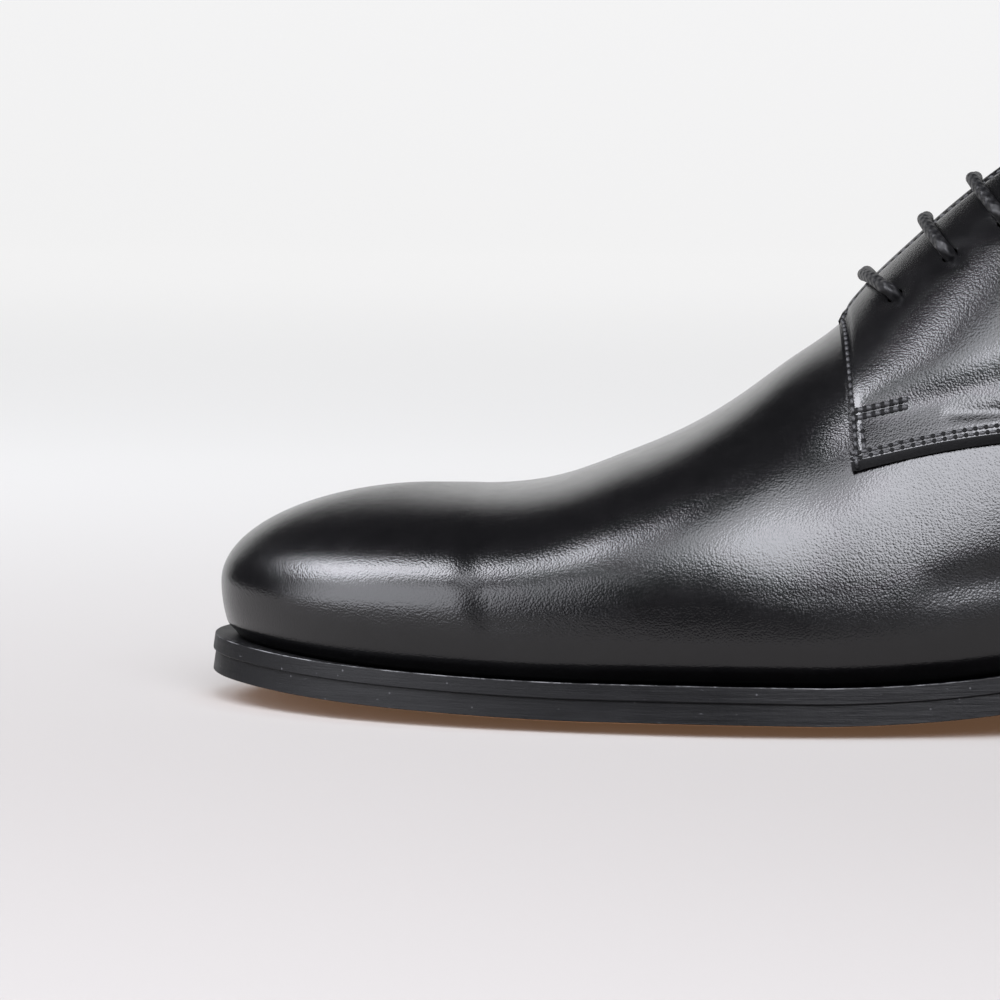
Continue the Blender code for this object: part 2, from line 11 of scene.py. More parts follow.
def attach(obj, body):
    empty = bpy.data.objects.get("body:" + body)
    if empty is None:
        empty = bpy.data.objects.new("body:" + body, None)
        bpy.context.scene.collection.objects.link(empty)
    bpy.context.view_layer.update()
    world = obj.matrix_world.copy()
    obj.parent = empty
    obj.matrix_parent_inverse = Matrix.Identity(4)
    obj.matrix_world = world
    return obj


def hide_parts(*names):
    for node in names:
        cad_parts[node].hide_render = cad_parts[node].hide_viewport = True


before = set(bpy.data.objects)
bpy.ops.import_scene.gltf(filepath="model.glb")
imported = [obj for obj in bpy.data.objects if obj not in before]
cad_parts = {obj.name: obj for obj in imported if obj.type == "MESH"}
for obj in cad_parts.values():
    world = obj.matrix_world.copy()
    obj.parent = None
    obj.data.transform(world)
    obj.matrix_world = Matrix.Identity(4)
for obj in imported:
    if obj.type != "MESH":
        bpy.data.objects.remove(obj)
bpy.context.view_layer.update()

# Outsole: one piece of oak-bark leather under the whole shoe, cut to the plan of the last and
# sprung up at the toe and the waist. The edge is trimmed, burnished and inked black, and the
# tread stays bare tan leather. It is sewn to the welt round the forepart.
MM = 0.001
LENGTH = 300.0
OUTER, INNER = -1, 1
OUTSOLE_THICK, OUTSOLE_LAP = 4.0, 0.15
OUTSOLE_STEPS = (200, 16)
OUTSOLE_ROUND = 0.14
FLAT_TREAD = 0.5
TOE_TIP, HEEL_END = (0.0, 5.0), (LENGTH, 0.7)
OUTLINE_SAMPLES = 1500

Outline = namedtuple("Outline", "along outer inner")
OUTLINE = [
    Outline(4, 11.0, 21.0),
    Outline(10, 19.4, 28.6),
    Outline(20, 28.8, 36.2),
    Outline(35, 38.0, 42.8),
    Outline(50, 44.0, 47.2),
    Outline(70, 49.0, 50.8),
    Outline(90, 51.9, 52.5),
    Outline(105, 52.5, 51.8),
    Outline(120, 51.4, 48.8),
    Outline(140, 47.8, 42.2),
    Outline(160, 42.9, 35.6),
    Outline(180, 38.6, 31.0),
    Outline(200, 35.6, 29.6),
    Outline(220, 34.4, 30.8),
    Outline(240, 34.4, 33.0),
    Outline(260, 33.8, 34.2),
    Outline(275, 30.2, 31.4),
    Outline(287, 22.9, 24.3),
    Outline(295, 13.6, 15.0),
]
Profile = namedtuple("Profile", "along bottom curl welt")
PROFILE = [
    Profile(0, 4.6, 0.6, 3.3),
    Profile(20, 2.5, 1.2, 4.2),
    Profile(45, 0.8, 1.9, 4.7),
    Profile(68, 0.06, 2.2, 4.8),
    Profile(82, -0.05, 2.3, 4.8),
    Profile(97, -0.06, 2.3, 4.8),
    Profile(112, -0.05, 2.2, 4.6),
    Profile(126, 0.5, 2.0, 4.2),
    Profile(142, 2.1, 1.6, 3.8),
    Profile(160, 5.3, 1.2, 3.4),
    Profile(180, 10.0, 0.7, 3.0),
    Profile(200, 14.9, 0.2, 2.8),
    Profile(222, 19.3, 0.0, 2.9),
    Profile(240, 21.3, 0.0, 3.1),
    Profile(262, 22.2, 0.0, 3.4),
    Profile(300, 22.8, 0.0, 3.6),
]
Section = namedtuple("Section", "along crown centre belly_outer belly_inner belly_up fullness")
SECTIONS = [
    Section(42, 39.2, 5.0, 1.8, 1.8, 9.5, 1.99),
    Section(50, 39.0, 5.2, 1.8, 1.8, 10.2, 2.22),
    Section(58, 39.4, 5.4, 1.9, 1.9, 10.4, 2.36),
    Section(66, 41.2, 5.6, 2.0, 2.0, 10.0, 2.46),
    Section(74, 44.2, 5.7, 2.2, 2.2, 9.4, 2.52),
    Section(82, 47.4, 5.8, 2.4, 2.4, 8.9, 2.52),
    Section(90, 51.4, 5.8, 2.5, 2.6, 8.6, 2.46),
    Section(98, 56.6, 5.8, 2.6, 2.8, 8.5, 2.27),
    Section(106, 62.5, 5.7, 2.6, 3.1, 8.5, 2.05),
    Section(114, 68.2, 5.6, 2.6, 3.4, 8.7, 1.94),
    Section(121, 75.2, 5.4, 2.6, 3.6, 9.0, 1.88),
    Section(128, 82.0, 5.2, 2.5, 3.8, 9.5, 1.84),
    Section(136, 89.4, 4.8, 2.4, 4.0, 10.4, 1.82),
    Section(144, 96.0, 4.4, 2.3, 4.1, 11.6, 1.81),
    Section(156, 104.3, 3.8, 2.2, 4.2, 14.0, 1.82),
    Section(170, 112.0, 3.0, 2.2, 4.2, 17.0, 1.86),
    Section(190, 117.6, 2.0, 2.3, 3.9, 20.4, 1.92),
    Section(215, 119.4, 1.0, 2.2, 3.0, 22.0, 1.98),
    Section(240, 120.6, 0.5, 2.0, 2.2, 22.2, 2.02),
    Section(262, 126.0, 0.5, 1.8, 1.8, 22.4, 2.05),
]
TOE_SPINE, TOE_FAN = SECTIONS[0].along, 75.0
HEEL_SPINE, HEEL_FAN = SECTIONS[-1].along, 230.0


def path_run(points):
    """Distance along a line of points, from its start."""
    return np.append(0, np.cumsum(np.linalg.norm(np.diff(points, axis=0), axis=1)))


def spline(knots, values, closed=False):
    """Cubic curve through the values at the knots. A closed one runs smoothly over its joint."""
    knots = np.asarray(knots, float)
    values = np.asarray(values, float).reshape(len(knots), -1)
    steps = np.diff(knots)
    slopes = np.diff(values, axis=0) / steps[:, None]
    matrix = np.zeros((len(knots), len(knots)))
    turns = np.zeros_like(values)
    for i in range(1, len(knots) - 1):
        matrix[i, i - 1 : i + 2] = steps[i - 1], 2 * (steps[i - 1] + steps[i]), steps[i]
        turns[i] = 6 * (slopes[i] - slopes[i - 1])
    if closed:
        matrix[0, 0], matrix[0, -1] = 1, -1
        matrix[-1, [0, 1, -2, -1]] = 2 * steps[0], steps[0], steps[-1], 2 * steps[-1]
        turns[-1] = 6 * (slopes[0] - slopes[-1])
    else:
        matrix[0, 0] = matrix[-1, -1] = 1
    bends = np.linalg.solve(matrix, turns)

    def at(knot):
        knot = np.asarray(knot, float)
        i = np.clip(np.searchsorted(knots, knot) - 1, 0, len(steps) - 1)
        step = steps[i][..., None]
        near = (knot - knots[i])[..., None] / step
        far = 1 - near
        bow = (far**3 - far) * bends[i] + (near**3 - near) * bends[i + 1]
        return far * values[i] + near * values[i + 1] + bow * step**2 / 6

    return at


def reader(rows, column):
    """A smooth function of the distance along the shoe, through one column of a table."""
    curve = spline([row.along for row in rows], [getattr(row, column) for row in rows])
    first, last = rows[0].along, rows[-1].along
    return lambda along: curve(np.clip(along, first, last))[..., 0]


bottom_at, curl_at, welt_at = (reader(PROFILE, name) for name in Profile._fields[1:])
centre_at = reader(SECTIONS, "centre")


def outline_halves():
    """Close points of the sole edge from toe to heel, and its outward direction, on each side."""
    outer = [(row.along, -row.outer) for row in OUTLINE]
    inner = [(row.along, row.inner) for row in OUTLINE]
    loop = np.array([TOE_TIP, *outer, HEEL_END, *inner[::-1], TOE_TIP])
    knots = path_run(loop)
    curve = spline(knots, loop, closed=True)
    heel = knots[len(OUTLINE) + 1]
    halves = {}
    for side, start in ((OUTER, 0), (INNER, knots[-1])):
        points = curve(np.linspace(start, heel, OUTLINE_SAMPLES))
        points[:, 0] = np.maximum.accumulate(points[:, 0])
        ahead = np.gradient(points, axis=0)
        ahead /= np.linalg.norm(ahead, axis=1)[:, None]
        ahead[0], ahead[-1] = (0, side), (0, -side)
        outward = np.column_stack((-ahead[:, 1], ahead[:, 0])) * side
        halves[side] = points, outward
    return halves


HALVES = outline_halves()
SHARES = np.linspace(0, 1, OUTLINE_SAMPLES)
OUTER_ALONG = HALVES[OUTER][0][:, 0]


def station_along(share):
    """Distance along the shoe at a share of the outer edge's length, from toe to heel."""
    return np.interp(share, SHARES, OUTER_ALONG)


def station_share(along):
    """Share of the outer edge's length, from toe to heel, at a distance along the shoe."""
    return np.interp(along, OUTER_ALONG, SHARES)


def edge_point(side, share, inset):
    """Points of the sole edge in plan, moved in from the edge by inset."""
    points, outward = HALVES[side]
    share = np.asarray(share, float)
    where = share
    if side == INNER:
        level = np.interp(station_along(share), points[:, 0], SHARES)
        where = np.where((share > 0) & (share < 1), level, share)
    point = np.stack([np.interp(where, SHARES, points[:, axis]) for axis in (0, 1)], -1)
    way = np.stack([np.interp(where, SHARES, outward[:, axis]) for axis in (0, 1)], -1)
    return point - np.asarray(inset, float)[..., None] * way


def spine_point(share):
    """Foot of the ridge in plan, where a section starts. At toe and heel the sections fan out."""
    along = station_along(share)
    toe, heel = TOE_FAN - TOE_SPINE, HEEL_SPINE - HEEL_FAN
    fan = LENGTH - HEEL_FAN
    front = TOE_SPINE + toe * np.clip(along / TOE_FAN, 0, 1) ** (TOE_FAN / toe)
    back = HEEL_SPINE - heel * np.clip((LENGTH - along) / fan, 0, 1) ** (fan / heel)
    along = np.where(along < TOE_FAN, front, np.where(along > HEEL_FAN, back, along))
    return np.stack((along, centre_at(along)), -1)


def underside(along, spread):
    """Height of the sole's underside, where spread is 0 on the axis and 1 at the edge."""
    rise = np.clip((spread - FLAT_TREAD) / (1 - FLAT_TREAD), 0, None) ** 2
    return np.maximum(0.0, bottom_at(along)) + curl_at(along) * rise


def bed_point(side, share, spread, inset, height):
    """Points of a sole layer, spread from the ridge line to a rim that is inset from the edge."""
    spine, edge = spine_point(share), edge_point(side, share, 0)
    rim = edge_point(side, share, inset)
    plan = spine + np.asarray(spread)[..., None] * (rim - spine)
    true_spread = np.linalg.norm(plan - spine, axis=-1) / np.linalg.norm(edge - spine, axis=-1)
    return np.column_stack((plan, underside(plan[..., 0], true_spread) + height))


def to_world(points):
    """Metres in the shoe's frame, from millimetres along, across and up."""
    return (np.asarray(points, float) - (LENGTH / 2, 0, 0)) * MM


def lay_grid(mesh, steps, place):
    """Adds a sheet of steps[0] by steps[1] faces, with its corners at place(u, v), in mm."""
    made = bmesh.ops.create_grid(mesh, x_segments=steps[0], y_segments=steps[1], size=0.5)
    flat = np.array([vert.co for vert in made["verts"]]) + 0.5
    for vert, point in zip(made["verts"], to_world(place(flat[:, 0], flat[:, 1]))):
        vert.co = point
    return made["verts"]


def weld(mesh, direction):
    """Joins sheets along their seams, and turns the furthest face in a direction outwards."""
    bmesh.ops.remove_doubles(mesh, verts=mesh.verts, dist=0.01 * MM)
    bmesh.ops.recalc_face_normals(mesh, faces=mesh.faces)
    way = Vector(direction)
    far = max(mesh.faces, key=lambda face: face.calc_center_median().dot(way))
    if far.normal.dot(way) < 0:
        bmesh.ops.reverse_faces(mesh, faces=mesh.faces)


def put_in_scene(name, mesh, *finishes):
    """Makes an object of a mesh, smooth and with its finishes."""
    data = bpy.data.meshes.new(name)
    mesh.to_mesh(data)
    mesh.free()
    data.shade_smooth()
    for finish in finishes:
        data.materials.append(finish)
    made = bpy.data.objects.new(name, data)
    bpy.context.scene.collection.objects.link(made)
    return made


def make_piece(name, mesh, finishes, slot, *nodes):
    """Puts a mesh in the scene as a piece of the shoe, in place of these CAD nodes."""
    piece = put_in_scene(name, mesh, *finishes)
    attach(piece, "root")
    if nodes:
        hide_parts(*nodes)
    return piece


def thicken(piece, thickness, inside=0, rim=0):
    """Gives a sheet its thickness behind its face, with finishes for the back and the cut edge."""
    solid = piece.modifiers.new("thickness", "SOLIDIFY")
    solid.thickness = thickness * MM
    solid.offset = -1
    solid.use_even_offset = True
    solid.use_quality_normals = True
    solid.material_offset, solid.material_offset_rim = inside, rim


def round_edges(piece, width, angle=50, finish=-1):
    """Rounds the edges sharper than an angle, in a finish of their own where one is given."""
    bevel = piece.modifiers.new("rounded edges", "BEVEL")
    bevel.width = width * MM
    bevel.segments = 3
    bevel.limit_method = "ANGLE"
    bevel.angle_limit = math.radians(angle)
    bevel.harden_normals = True
    bevel.material = finish


class Shade:
    """A socket of a finish. Sums, differences and products add Math nodes to it."""

    def __init__(self, tree, socket=None):
        self.tree, self.socket = tree, socket

    def node(self, kind, settings, sockets, out=0):
        """Adds a node: its settings go first, then the values or links of its sockets."""
        made = self.tree.nodes.new("ShaderNode" + kind)
        for name, value in settings.items():
            setattr(made, name, value)
        for name, value in sockets.items():
            if isinstance(value, Shade):
                self.tree.links.new(value.socket, made.inputs[name])
            else:
                made.inputs[name].default_value = value
        return Shade(self.tree, made.outputs[out] if len(made.outputs) else None)

    def math(self, operation, *values):
        return self.node("Math", {"operation": operation}, dict(enumerate(values)))

    def __add__(self, other):
        return self.math("ADD", self, other)

    def __radd__(self, other):
        return self.math("ADD", other, self)

    def __sub__(self, other):
        return self.math("SUBTRACT", self, other)

    def __rsub__(self, other):
        return self.math("SUBTRACT", other, self)

    def __mul__(self, other):
        return self.math("MULTIPLY", self, other)

    def __rmul__(self, other):
        return self.math("MULTIPLY", other, self)


def step_between(value, low, high):
    """A mask that goes smoothly from 0 at low to 1 at high."""
    return value.node(
        "MapRange",
        {"interpolation_type": "SMOOTHSTEP"},
        {"Value": value, "From Min": low, "From Max": high},
    )


def blend_colour(mask, first, second):
    """The first colour where the mask is 0, the second where it is 1."""
    return mask.node("Mix", {"data_type": "RGBA"}, {0: mask, 6: first, 7: second}, 2)


def start_finish(name):
    """A new finish, and the place on the piece that its patterns read."""
    material = bpy.data.materials.new(name)
    material.use_nodes = True
    material.node_tree.nodes.clear()
    shade = Shade(material.node_tree)
    return material, shade, shade.node("TexCoord", {}, {}, "Object")


def close_finish(shade, sockets):
    """Ends a finish with a surface that has these values or links in its sockets."""
    surface = shade.node("BsdfPrincipled", {}, sockets)
    shade.node("OutputMaterial", {}, {"Surface": surface})


def noise(place, scale, detail=2.0, roughness=0.5):
    """A cloudy pattern, with so many clouds to the metre."""
    sockets = {"Vector": place, "Scale": scale, "Detail": detail, "Roughness": roughness}
    return place.node("TexNoise", {}, sockets)


def cells(place, scale):
    """Distance from the middle of the nearest cell of a pattern of cells."""
    return place.node("TexVoronoi", {}, {"Vector": place, "Scale": scale})


def stretch(place, x, y, z):
    """The place on the piece, scaled along each axis."""
    return place.node("Mapping", {}, {"Vector": place, "Scale": (x, y, z)})


def bump(height, depth, below=None):
    """Relief of a given depth in millimetres, over the relief below it."""
    sockets = {"Strength": 1.0, "Distance": depth * MM, "Height": height}
    if below:
        sockets["Normal"] = below
    return height.node("Bump", {}, sockets)


def bare_leather_finish(name, pale, dark, scuff):
    """Uncoated vegetable-tanned leather: fine pores, cloudy colour and scuffs along the shoe."""
    material, shade, place = start_finish(name)
    clouds = noise(place, 45, 5, 0.6)
    streaks = noise(stretch(place, 60, 420, 420), 1.0, 4, 0.6)
    pores = cells(place, 1500)
    mask = step_between(clouds + (streaks - 0.5) * scuff, 0.35, 0.68)
    relief = bump(streaks * 0.6 + clouds, 0.12)
    close_finish(
        shade,
        {
            "Base Color": blend_colour(mask, pale, dark),
            "Roughness": 0.5 + 0.25 * clouds,
            "Normal": bump(pores, 0.03, relief),
            "Specular IOR Level": 0.35,
        },
    )
    return material


def edge_ink_finish(name, wear, rub_and_highlight=0.0):
    """Trimmed edge, inked black and waxed: drag lines, dull patches, specks and a rubbed rim with a
    painted highlight.
    """
    material, shade, place = start_finish(name)
    drag = noise(stretch(place, 45, 45, 900), 1.0, 4, 0.65)
    patches = noise(place, 70, 4, 0.6)
    nicks = step_between(noise(stretch(place, 260, 260, 1500), 1.0, 5, 0.7), 0.66, 0.74)
    speck = 1 - step_between(cells(place, 420), 0.05, 0.09)
    # The rim mask picks the rounded top edge by how far it faces up; its lighter colour is partly
    # rub wear and partly a painted highlight.
    tilt = place.node("SeparateXYZ", {}, {0: place.node("NewGeometry", {}, {}, 1)}, 2)
    rim = step_between(tilt, 0.30, 0.55) * (1 - step_between(tilt, 0.86, 0.98))
    rubbed_and_highlit = rim * step_between(noise(place, 200, 6, 0.75), 0.42, 0.64) * rub_and_highlight
    colour = blend_colour(patches, (0.0015, 0.0015, 0.0018, 1), (0.0045, 0.0045, 0.005, 1))
    worn = blend_colour(nicks * wear + speck * wear * 0.6, colour, (0.09, 0.09, 0.095, 1))
    relief = bump(drag, 0.10, bump(patches, 0.22))
    close_finish(
        shade,
        {
            "Base Color": blend_colour(rubbed_and_highlit, worn, (0.12, 0.12, 0.124, 1)),
            "Roughness": 0.30 + 0.2 * patches + 0.1 * drag,
            "Normal": bump(noise(place, 2600, 2), 0.02, relief),
            "Specular IOR Level": 0.16,
        },
    )
    return material


def make_layer(name, steps, place_on, thickness, finishes, slot, *nodes, rim=0):
    """A layer of the sole, laid from its underside and thickened upwards."""
    mesh = bmesh.new()
    for side in (OUTER, INNER):
        lay_grid(mesh, steps, lambda u, v, side=side: place_on(side, u, v))
    weld(mesh, (0, 0, -1))
    piece = make_piece(name, mesh, finishes, slot, *nodes)
    thicken(piece, thickness, rim, rim)
    return piece


TREAD_LEATHER = bare_leather_finish(
    "tread_leather", (0.50, 0.27, 0.13, 1), (0.36, 0.18, 0.08, 1), 0.9
)
EDGE_INK = edge_ink_finish("edge_ink", 0.8)
outsole = make_layer(
    "outsole_leather",
    OUTSOLE_STEPS,
    lambda side, u, v: bed_point(side, u, v, np.zeros_like(u), 0.0),
    OUTSOLE_THICK + OUTSOLE_LAP,
    (TREAD_LEATHER, EDGE_INK),
    "sole_leather",
    "outsole",
    rim=1,
)
round_edges(outsole, OUTSOLE_ROUND)

# Welt: a strip of black leather that runs round between the upper and the outsole. It shows as a
# flat ledge with its own trimmed edge, set off from the outsole by a fine groove, and it carries
# the black stitches that hold the outsole on.
WELT_THICK = 2.4
WELT_WIDTH = 11.0
WELT_STEPS = (260, 5)
WELT_ROUND = 0.24
WELT_LAP, WELT_RAISE = 0.35, 0.3
WELT_BED = OUTSOLE_THICK + OUTSOLE_LAP - WELT_LAP
WELT_TOP = OUTSOLE_THICK + WELT_THICK + WELT_RAISE
WELT_STITCH, WELT_FILL, WELT_THREAD, WELT_SUNK = 3.1, 0.86, 0.36, 0.27
WELT_ROW_IN, WELT_ROW_END, WELT_ROW_SAMPLES = 0.55, 222.0, 900
# How flat the dark discs of painted shade at the needle holes are.
HOLE_SHADE_FLAT = 0.3


def welt_point(side, u, v):
    """Points of the welt's underside: u from toe to heel, v from its inner edge to the sole's."""
    inset = (1 - v) * (WELT_WIDTH + welt_at(station_along(u)))
    return bed_point(side, u, np.ones_like(u), inset, WELT_BED)


# The welt's top rim gets the full rub wear and painted highlight.
WELT_LEATHER = edge_ink_finish("welt_leather", 1.0, 1.0)
welt = make_layer(
    "welt_strip",
    WELT_STEPS,
    welt_point,
    WELT_TOP - WELT_BED,
    (WELT_LEATHER,),
    "edge_leather",
    "welt",
)
round_edges(welt, WELT_ROUND)


def sew_row(mesh, line, normals, pitch, fill, radius, sunk, hole=0.0):
    """A row of thread along a line: plump grains partly sunk in the leather, with a flat dark disc
    at each needle hole as painted shade.
    """
    line = np.asarray(line, float)
    ball, grain = bmesh.new(), bpy.data.meshes.new("stitch")
    bmesh.ops.create_uvsphere(ball, u_segments=8, v_segments=6, radius=1.0)
    ball.to_mesh(grain)
    ball.free()
    run = path_run(line)
    count = max(1, round(run[-1] / (pitch * MM)))
    for middle in (np.arange(count) + 0.5) * run[-1] / count:
        half = 0.5 * run[-1] / count
        spot, before, after, up = (
            np.array([np.interp(at, run, values[:, axis]) for axis in range(3)])
            for at, values in (
                (middle, line),
                (middle - half, line),
                (middle + half, line),
                (middle, normals),
            )
        )
        ahead, up = Vector(after - before).normalized(), Vector(up).normalized()
        across = up.cross(ahead).normalized()
        up = ahead.cross(across)
        turn = Matrix((across, up, ahead)).transposed().to_4x4()
        shapes = [(Vector(spot) - up * sunk * MM, (radius * MM, radius * MM, half * fill), 0)]
        # Each needle hole is a flat dark disc in the second finish: painted shade where the hole
        # would be.
        if hole:
            shapes.append((Vector(before), (hole * MM, HOLE_SHADE_FLAT * hole * MM, hole * MM), 1))
        for place, size, finish in shapes:
            stitch = grain.copy()
            stitch.transform(Matrix.Translation(place) @ turn @ Matrix.Diagonal((*size, 1)))
            stitch.polygons.foreach_set("material_index", [finish] * len(stitch.polygons))
            mesh.from_mesh(stitch)
            bpy.data.meshes.remove(stitch)
    bpy.data.meshes.remove(grain)


def thread_finish(name, colour):
    """Waxed linen thread: a fine twist of strands, with painted shade in its hollows."""
    material, shade, place = start_finish(name)
    strands = noise(place, 5200, 3)
    clouds = noise(place, 300, 2)
    # The colour darkens where the twist's relief is low: painted shade in the hollows.
    dark = (*(0.4 * part for part in colour), 1)
    close_finish(
        shade,
        {
            "Base Color": blend_colour(strands, dark, (*colour, 1)),
            "Roughness": 0.42 + 0.2 * clouds,
            "Normal": bump(strands, 0.05),
        },
    )
    return material


BLACK_THREAD = thread_finish("black_thread", (0.022, 0.022, 0.024))
mesh = bmesh.new()
for side in (OUTER, INNER):
    share = np.linspace(0.0, station_share(WELT_ROW_END), WELT_ROW_SAMPLES)
    inset = WELT_ROW_IN * welt_at(station_along(share))
    row = bed_point(side, share, np.ones_like(share), inset, WELT_TOP)
    upward = np.tile((0, 0, 1.0), (len(row), 1))
    sew_row(mesh, to_world(row), upward, WELT_STITCH, WELT_FILL, WELT_THREAD, WELT_SUNK)
make_piece("welt_stitches", mesh, (BLACK_THREAD,), "edge_leather")

# Heel: lifts of leather pegged and glued one under the other, trimmed to one slope, inked black
# and waxed. Fine lines show where the lifts meet.
HEEL_BREAST = 224.0
TOP_PIECE_THICK = 6.0
HEEL_TAPER = 0.965
HEEL_STEPS = (56, 8)
HEEL_LIFTS = 4
LIFT_ROUND = 0.28


def make_lift(mesh, top_at, low_at, taper_top, taper_low):
    """A block in the sole's outline behind the breast, between two heights over its plan."""
    breast = station_share(HEEL_BREAST)
    block = bmesh.new()
    for side in (OUTER, INNER):

        def place(u, v, side=side):
            return bed_point(side, breast + u * (1 - breast), v, np.zeros_like(u), 0.0)

        lay_grid(block, HEEL_STEPS, place)
    weld(block, (0, 0, 1))
    made = bmesh.ops.extrude_face_region(block, geom=block.faces[:], use_keep_orig=True)
    lower = {item for item in made["geom"] if isinstance(item, bmesh.types.BMVert)}
    middle = to_world(((HEEL_BREAST + LENGTH) / 2, HEEL_END[1], 0))
    for vert in block.verts:
        seat = vert.co.z / MM
        height, taper = (low_at, taper_low) if vert in lower else (top_at, taper_top)
        vert.co.x = middle[0] + (vert.co.x - middle[0]) * taper
        vert.co.y = middle[1] + (vert.co.y - middle[1]) * taper
        vert.co.z = height(seat) * MM
    bmesh.ops.recalc_face_normals(block, faces=block.faces)
    data = bpy.data.meshes.new("lift")
    block.to_mesh(data)
    block.free()
    mesh.from_mesh(data)
    bpy.data.meshes.remove(data)


def lift_height(part):
    """Height at a part of the way from the sole down to the top piece."""
    return lambda seat: seat + (TOP_PIECE_THICK - seat) * part


mesh = bmesh.new()
for lift in range(HEEL_LIFTS):
    top, low = lift / HEEL_LIFTS, (lift + 1) / HEEL_LIFTS
    make_lift(
        mesh,
        lift_height(top),
        lift_height(low),
        1 - (1 - HEEL_TAPER) * top,
        1 - (1 - HEEL_TAPER) * low,
    )
heel = make_piece("heel_stack", mesh, (EDGE_INK,), "edge_leather", "heel")
round_edges(heel, LIFT_ROUND)

# Heel top piece: a slab of hard black rubber under the stack, the part that wears on the ground.
# It is moulded with a fine pebble, and its edge is trimmed flush with the lifts.
TOP_PIECE_ROUND = 0.5


def rubber_finish(name):
    """Hard black rubber, pebbled and a little dusty."""
    material, shade, place = start_finish(name)
    pebble = cells(place, 900)
    dust = noise(place, 120, 5, 0.65)
    dusty = step_between(dust, 0.45, 0.75)
    colour = blend_colour(dusty, (0.016, 0.016, 0.016, 1), (0.045, 0.043, 0.04, 1))
    close_finish(
        shade,
        {
            "Base Color": colour,
            "Roughness": 0.62 + 0.2 * dust,
            "Normal": bump(pebble, 0.12, bump(dust, 0.15)),
            "Specular IOR Level": 0.4,
        },
    )
    return material


HEEL_RUBBER = rubber_finish("heel_rubber")
mesh = bmesh.new()
make_lift(mesh, lambda seat: TOP_PIECE_THICK, lambda seat: 0.0, HEEL_TAPER, HEEL_TAPER)
top_piece = make_piece("heel_rubber_piece", mesh, (HEEL_RUBBER,), "heel_rubber", "heel_top_piece")
round_edges(top_piece, TOP_PIECE_ROUND)

# Insole with its sock: the leather board that the foot stands on, covered with the same tan
# leather as the lining and glued down inside the upper.
UPPER_WALL = 1.8
INSOLE_THICK = 2.4
INSOLE_STEPS = (160, 18)
INSOLE_RAISE, INSOLE_EASE, INSOLE_ROUND = 0.75, 0.35, 0.6
INSOLE_BED = OUTSOLE_THICK + WELT_THICK + INSOLE_RAISE
SOCK_LEATHER = bare_leather_finish(
    "sock_leather", (0.47, 0.31, 0.18, 1), (0.36, 0.225, 0.125, 1), 0.35
)


def insole_point(side, u, v):
    """Points of the insole's underside, just inside the upper's wall."""
    inset = welt_at(station_along(u)) + UPPER_WALL + INSOLE_EASE
    return bed_point(side, u, v, inset, INSOLE_BED)


insole = make_layer(
    "insole_sock",
    INSOLE_STEPS,
    insole_point,
    INSOLE_THICK,
    (SOCK_LEATHER,),
    "lining_leather",
    "insole",
)
round_edges(insole, INSOLE_ROUND)

# Upper: black box calf pulled over the last in one piece, with the vamp plain to the toe. Its
# lower edge tucks in over the welt, and its inside is lined with tan leather. A stiffener under
# the toe ends in a soft step, and a few shallow waves lie behind it.
WALL_SAMPLES, CROWN_SAMPLES = 60, 260
STATIONS, CLIMBS = 1201, 401
UPPER_STEPS, ROW_EVEN, ROW_CLOSE = (230, 84), 0.8, 0.2
UPPER_RAISE = 0.6
UPPER_BED = OUTSOLE_THICK + WELT_THICK + UPPER_RAISE
TUCK_DEPTH, TUCK_HEIGHT, WALL_RUN = 1.5, 3.0, 70.0
TUCK_DROP, TUCK_STEEP = 0.9, 40
TOE_STEP, TOE_STEP_SLANT, TOE_STEP_LEVEL = 50.0, 0.26, 31.5
TOE_STEP_LONG, TOE_STEP_DEEP, TOE_STEP_FADE = 5.4, 0.45, 22.0
TOE_STEP_FOOT, TOE_STEP_RISE, TOE_STEP_TOP, TOE_STEP_FALL = 10, 8, 42, 10
TOE_BULGE, TOE_BULGE_ALONG, TOE_BULGE_UP = 0.12, (33, 9), (27, 7)
SLOT_START, SLOT_FULL, SLOT_BACK = 123.0, 131.0, 0.6
EYELETS, EYELET_FIRST, EYELET_PITCH, EYELET_REACH = 5, 126.2, 12.7, 22.0
EYELET_RADIUS, EYELET_EASE = 1.6, 0.3
EYELET_NEAR, EYELET_CUT, EYELET_PULL = 5.0, 0.8, 2.2
FACING_SLOPE = math.radians(41.0)
QUARTER_GAP, QUARTER_THICK = 0.35, 1.3

Collar = namedtuple("Collar", "along outer inner")
COLLAR = [
    Collar(160, 113.0, 113.0),
    Collar(168, 112.0, 112.0),
    Collar(173, 107.6, 108.0),
    Collar(180, 99.6, 100.6),
    Collar(190, 90.6, 92.0),
    Collar(205, 83.0, 84.8),
    Collar(222, 79.6, 81.6),
    Collar(240, 79.2, 80.8),
    Collar(258, 81.6, 82.4),
    Collar(275, 86.4, 86.6),
    Collar(290, 90.8, 90.8),
    Collar(300, 92.0, 92.0),
]
Throat = namedtuple("Throat", "along half_gap")
THROAT = [Throat(114, 5.4), Throat(130, 5.8), Throat(150, 6.8), Throat(172, 8.2)]
crown_at = reader(SECTIONS, "crown")
belly_at = {OUTER: reader(SECTIONS, "belly_outer"), INNER: reader(SECTIONS, "belly_inner")}
belly_up_at, fullness_at = reader(SECTIONS, "belly_up"), reader(SECTIONS, "fullness")
collar_at = {OUTER: reader(COLLAR, "outer"), INNER: reader(COLLAR, "inner")}
half_gap_at = reader(THROAT, "half_gap")
CLIMB = np.linspace(0, 1, CLIMBS)


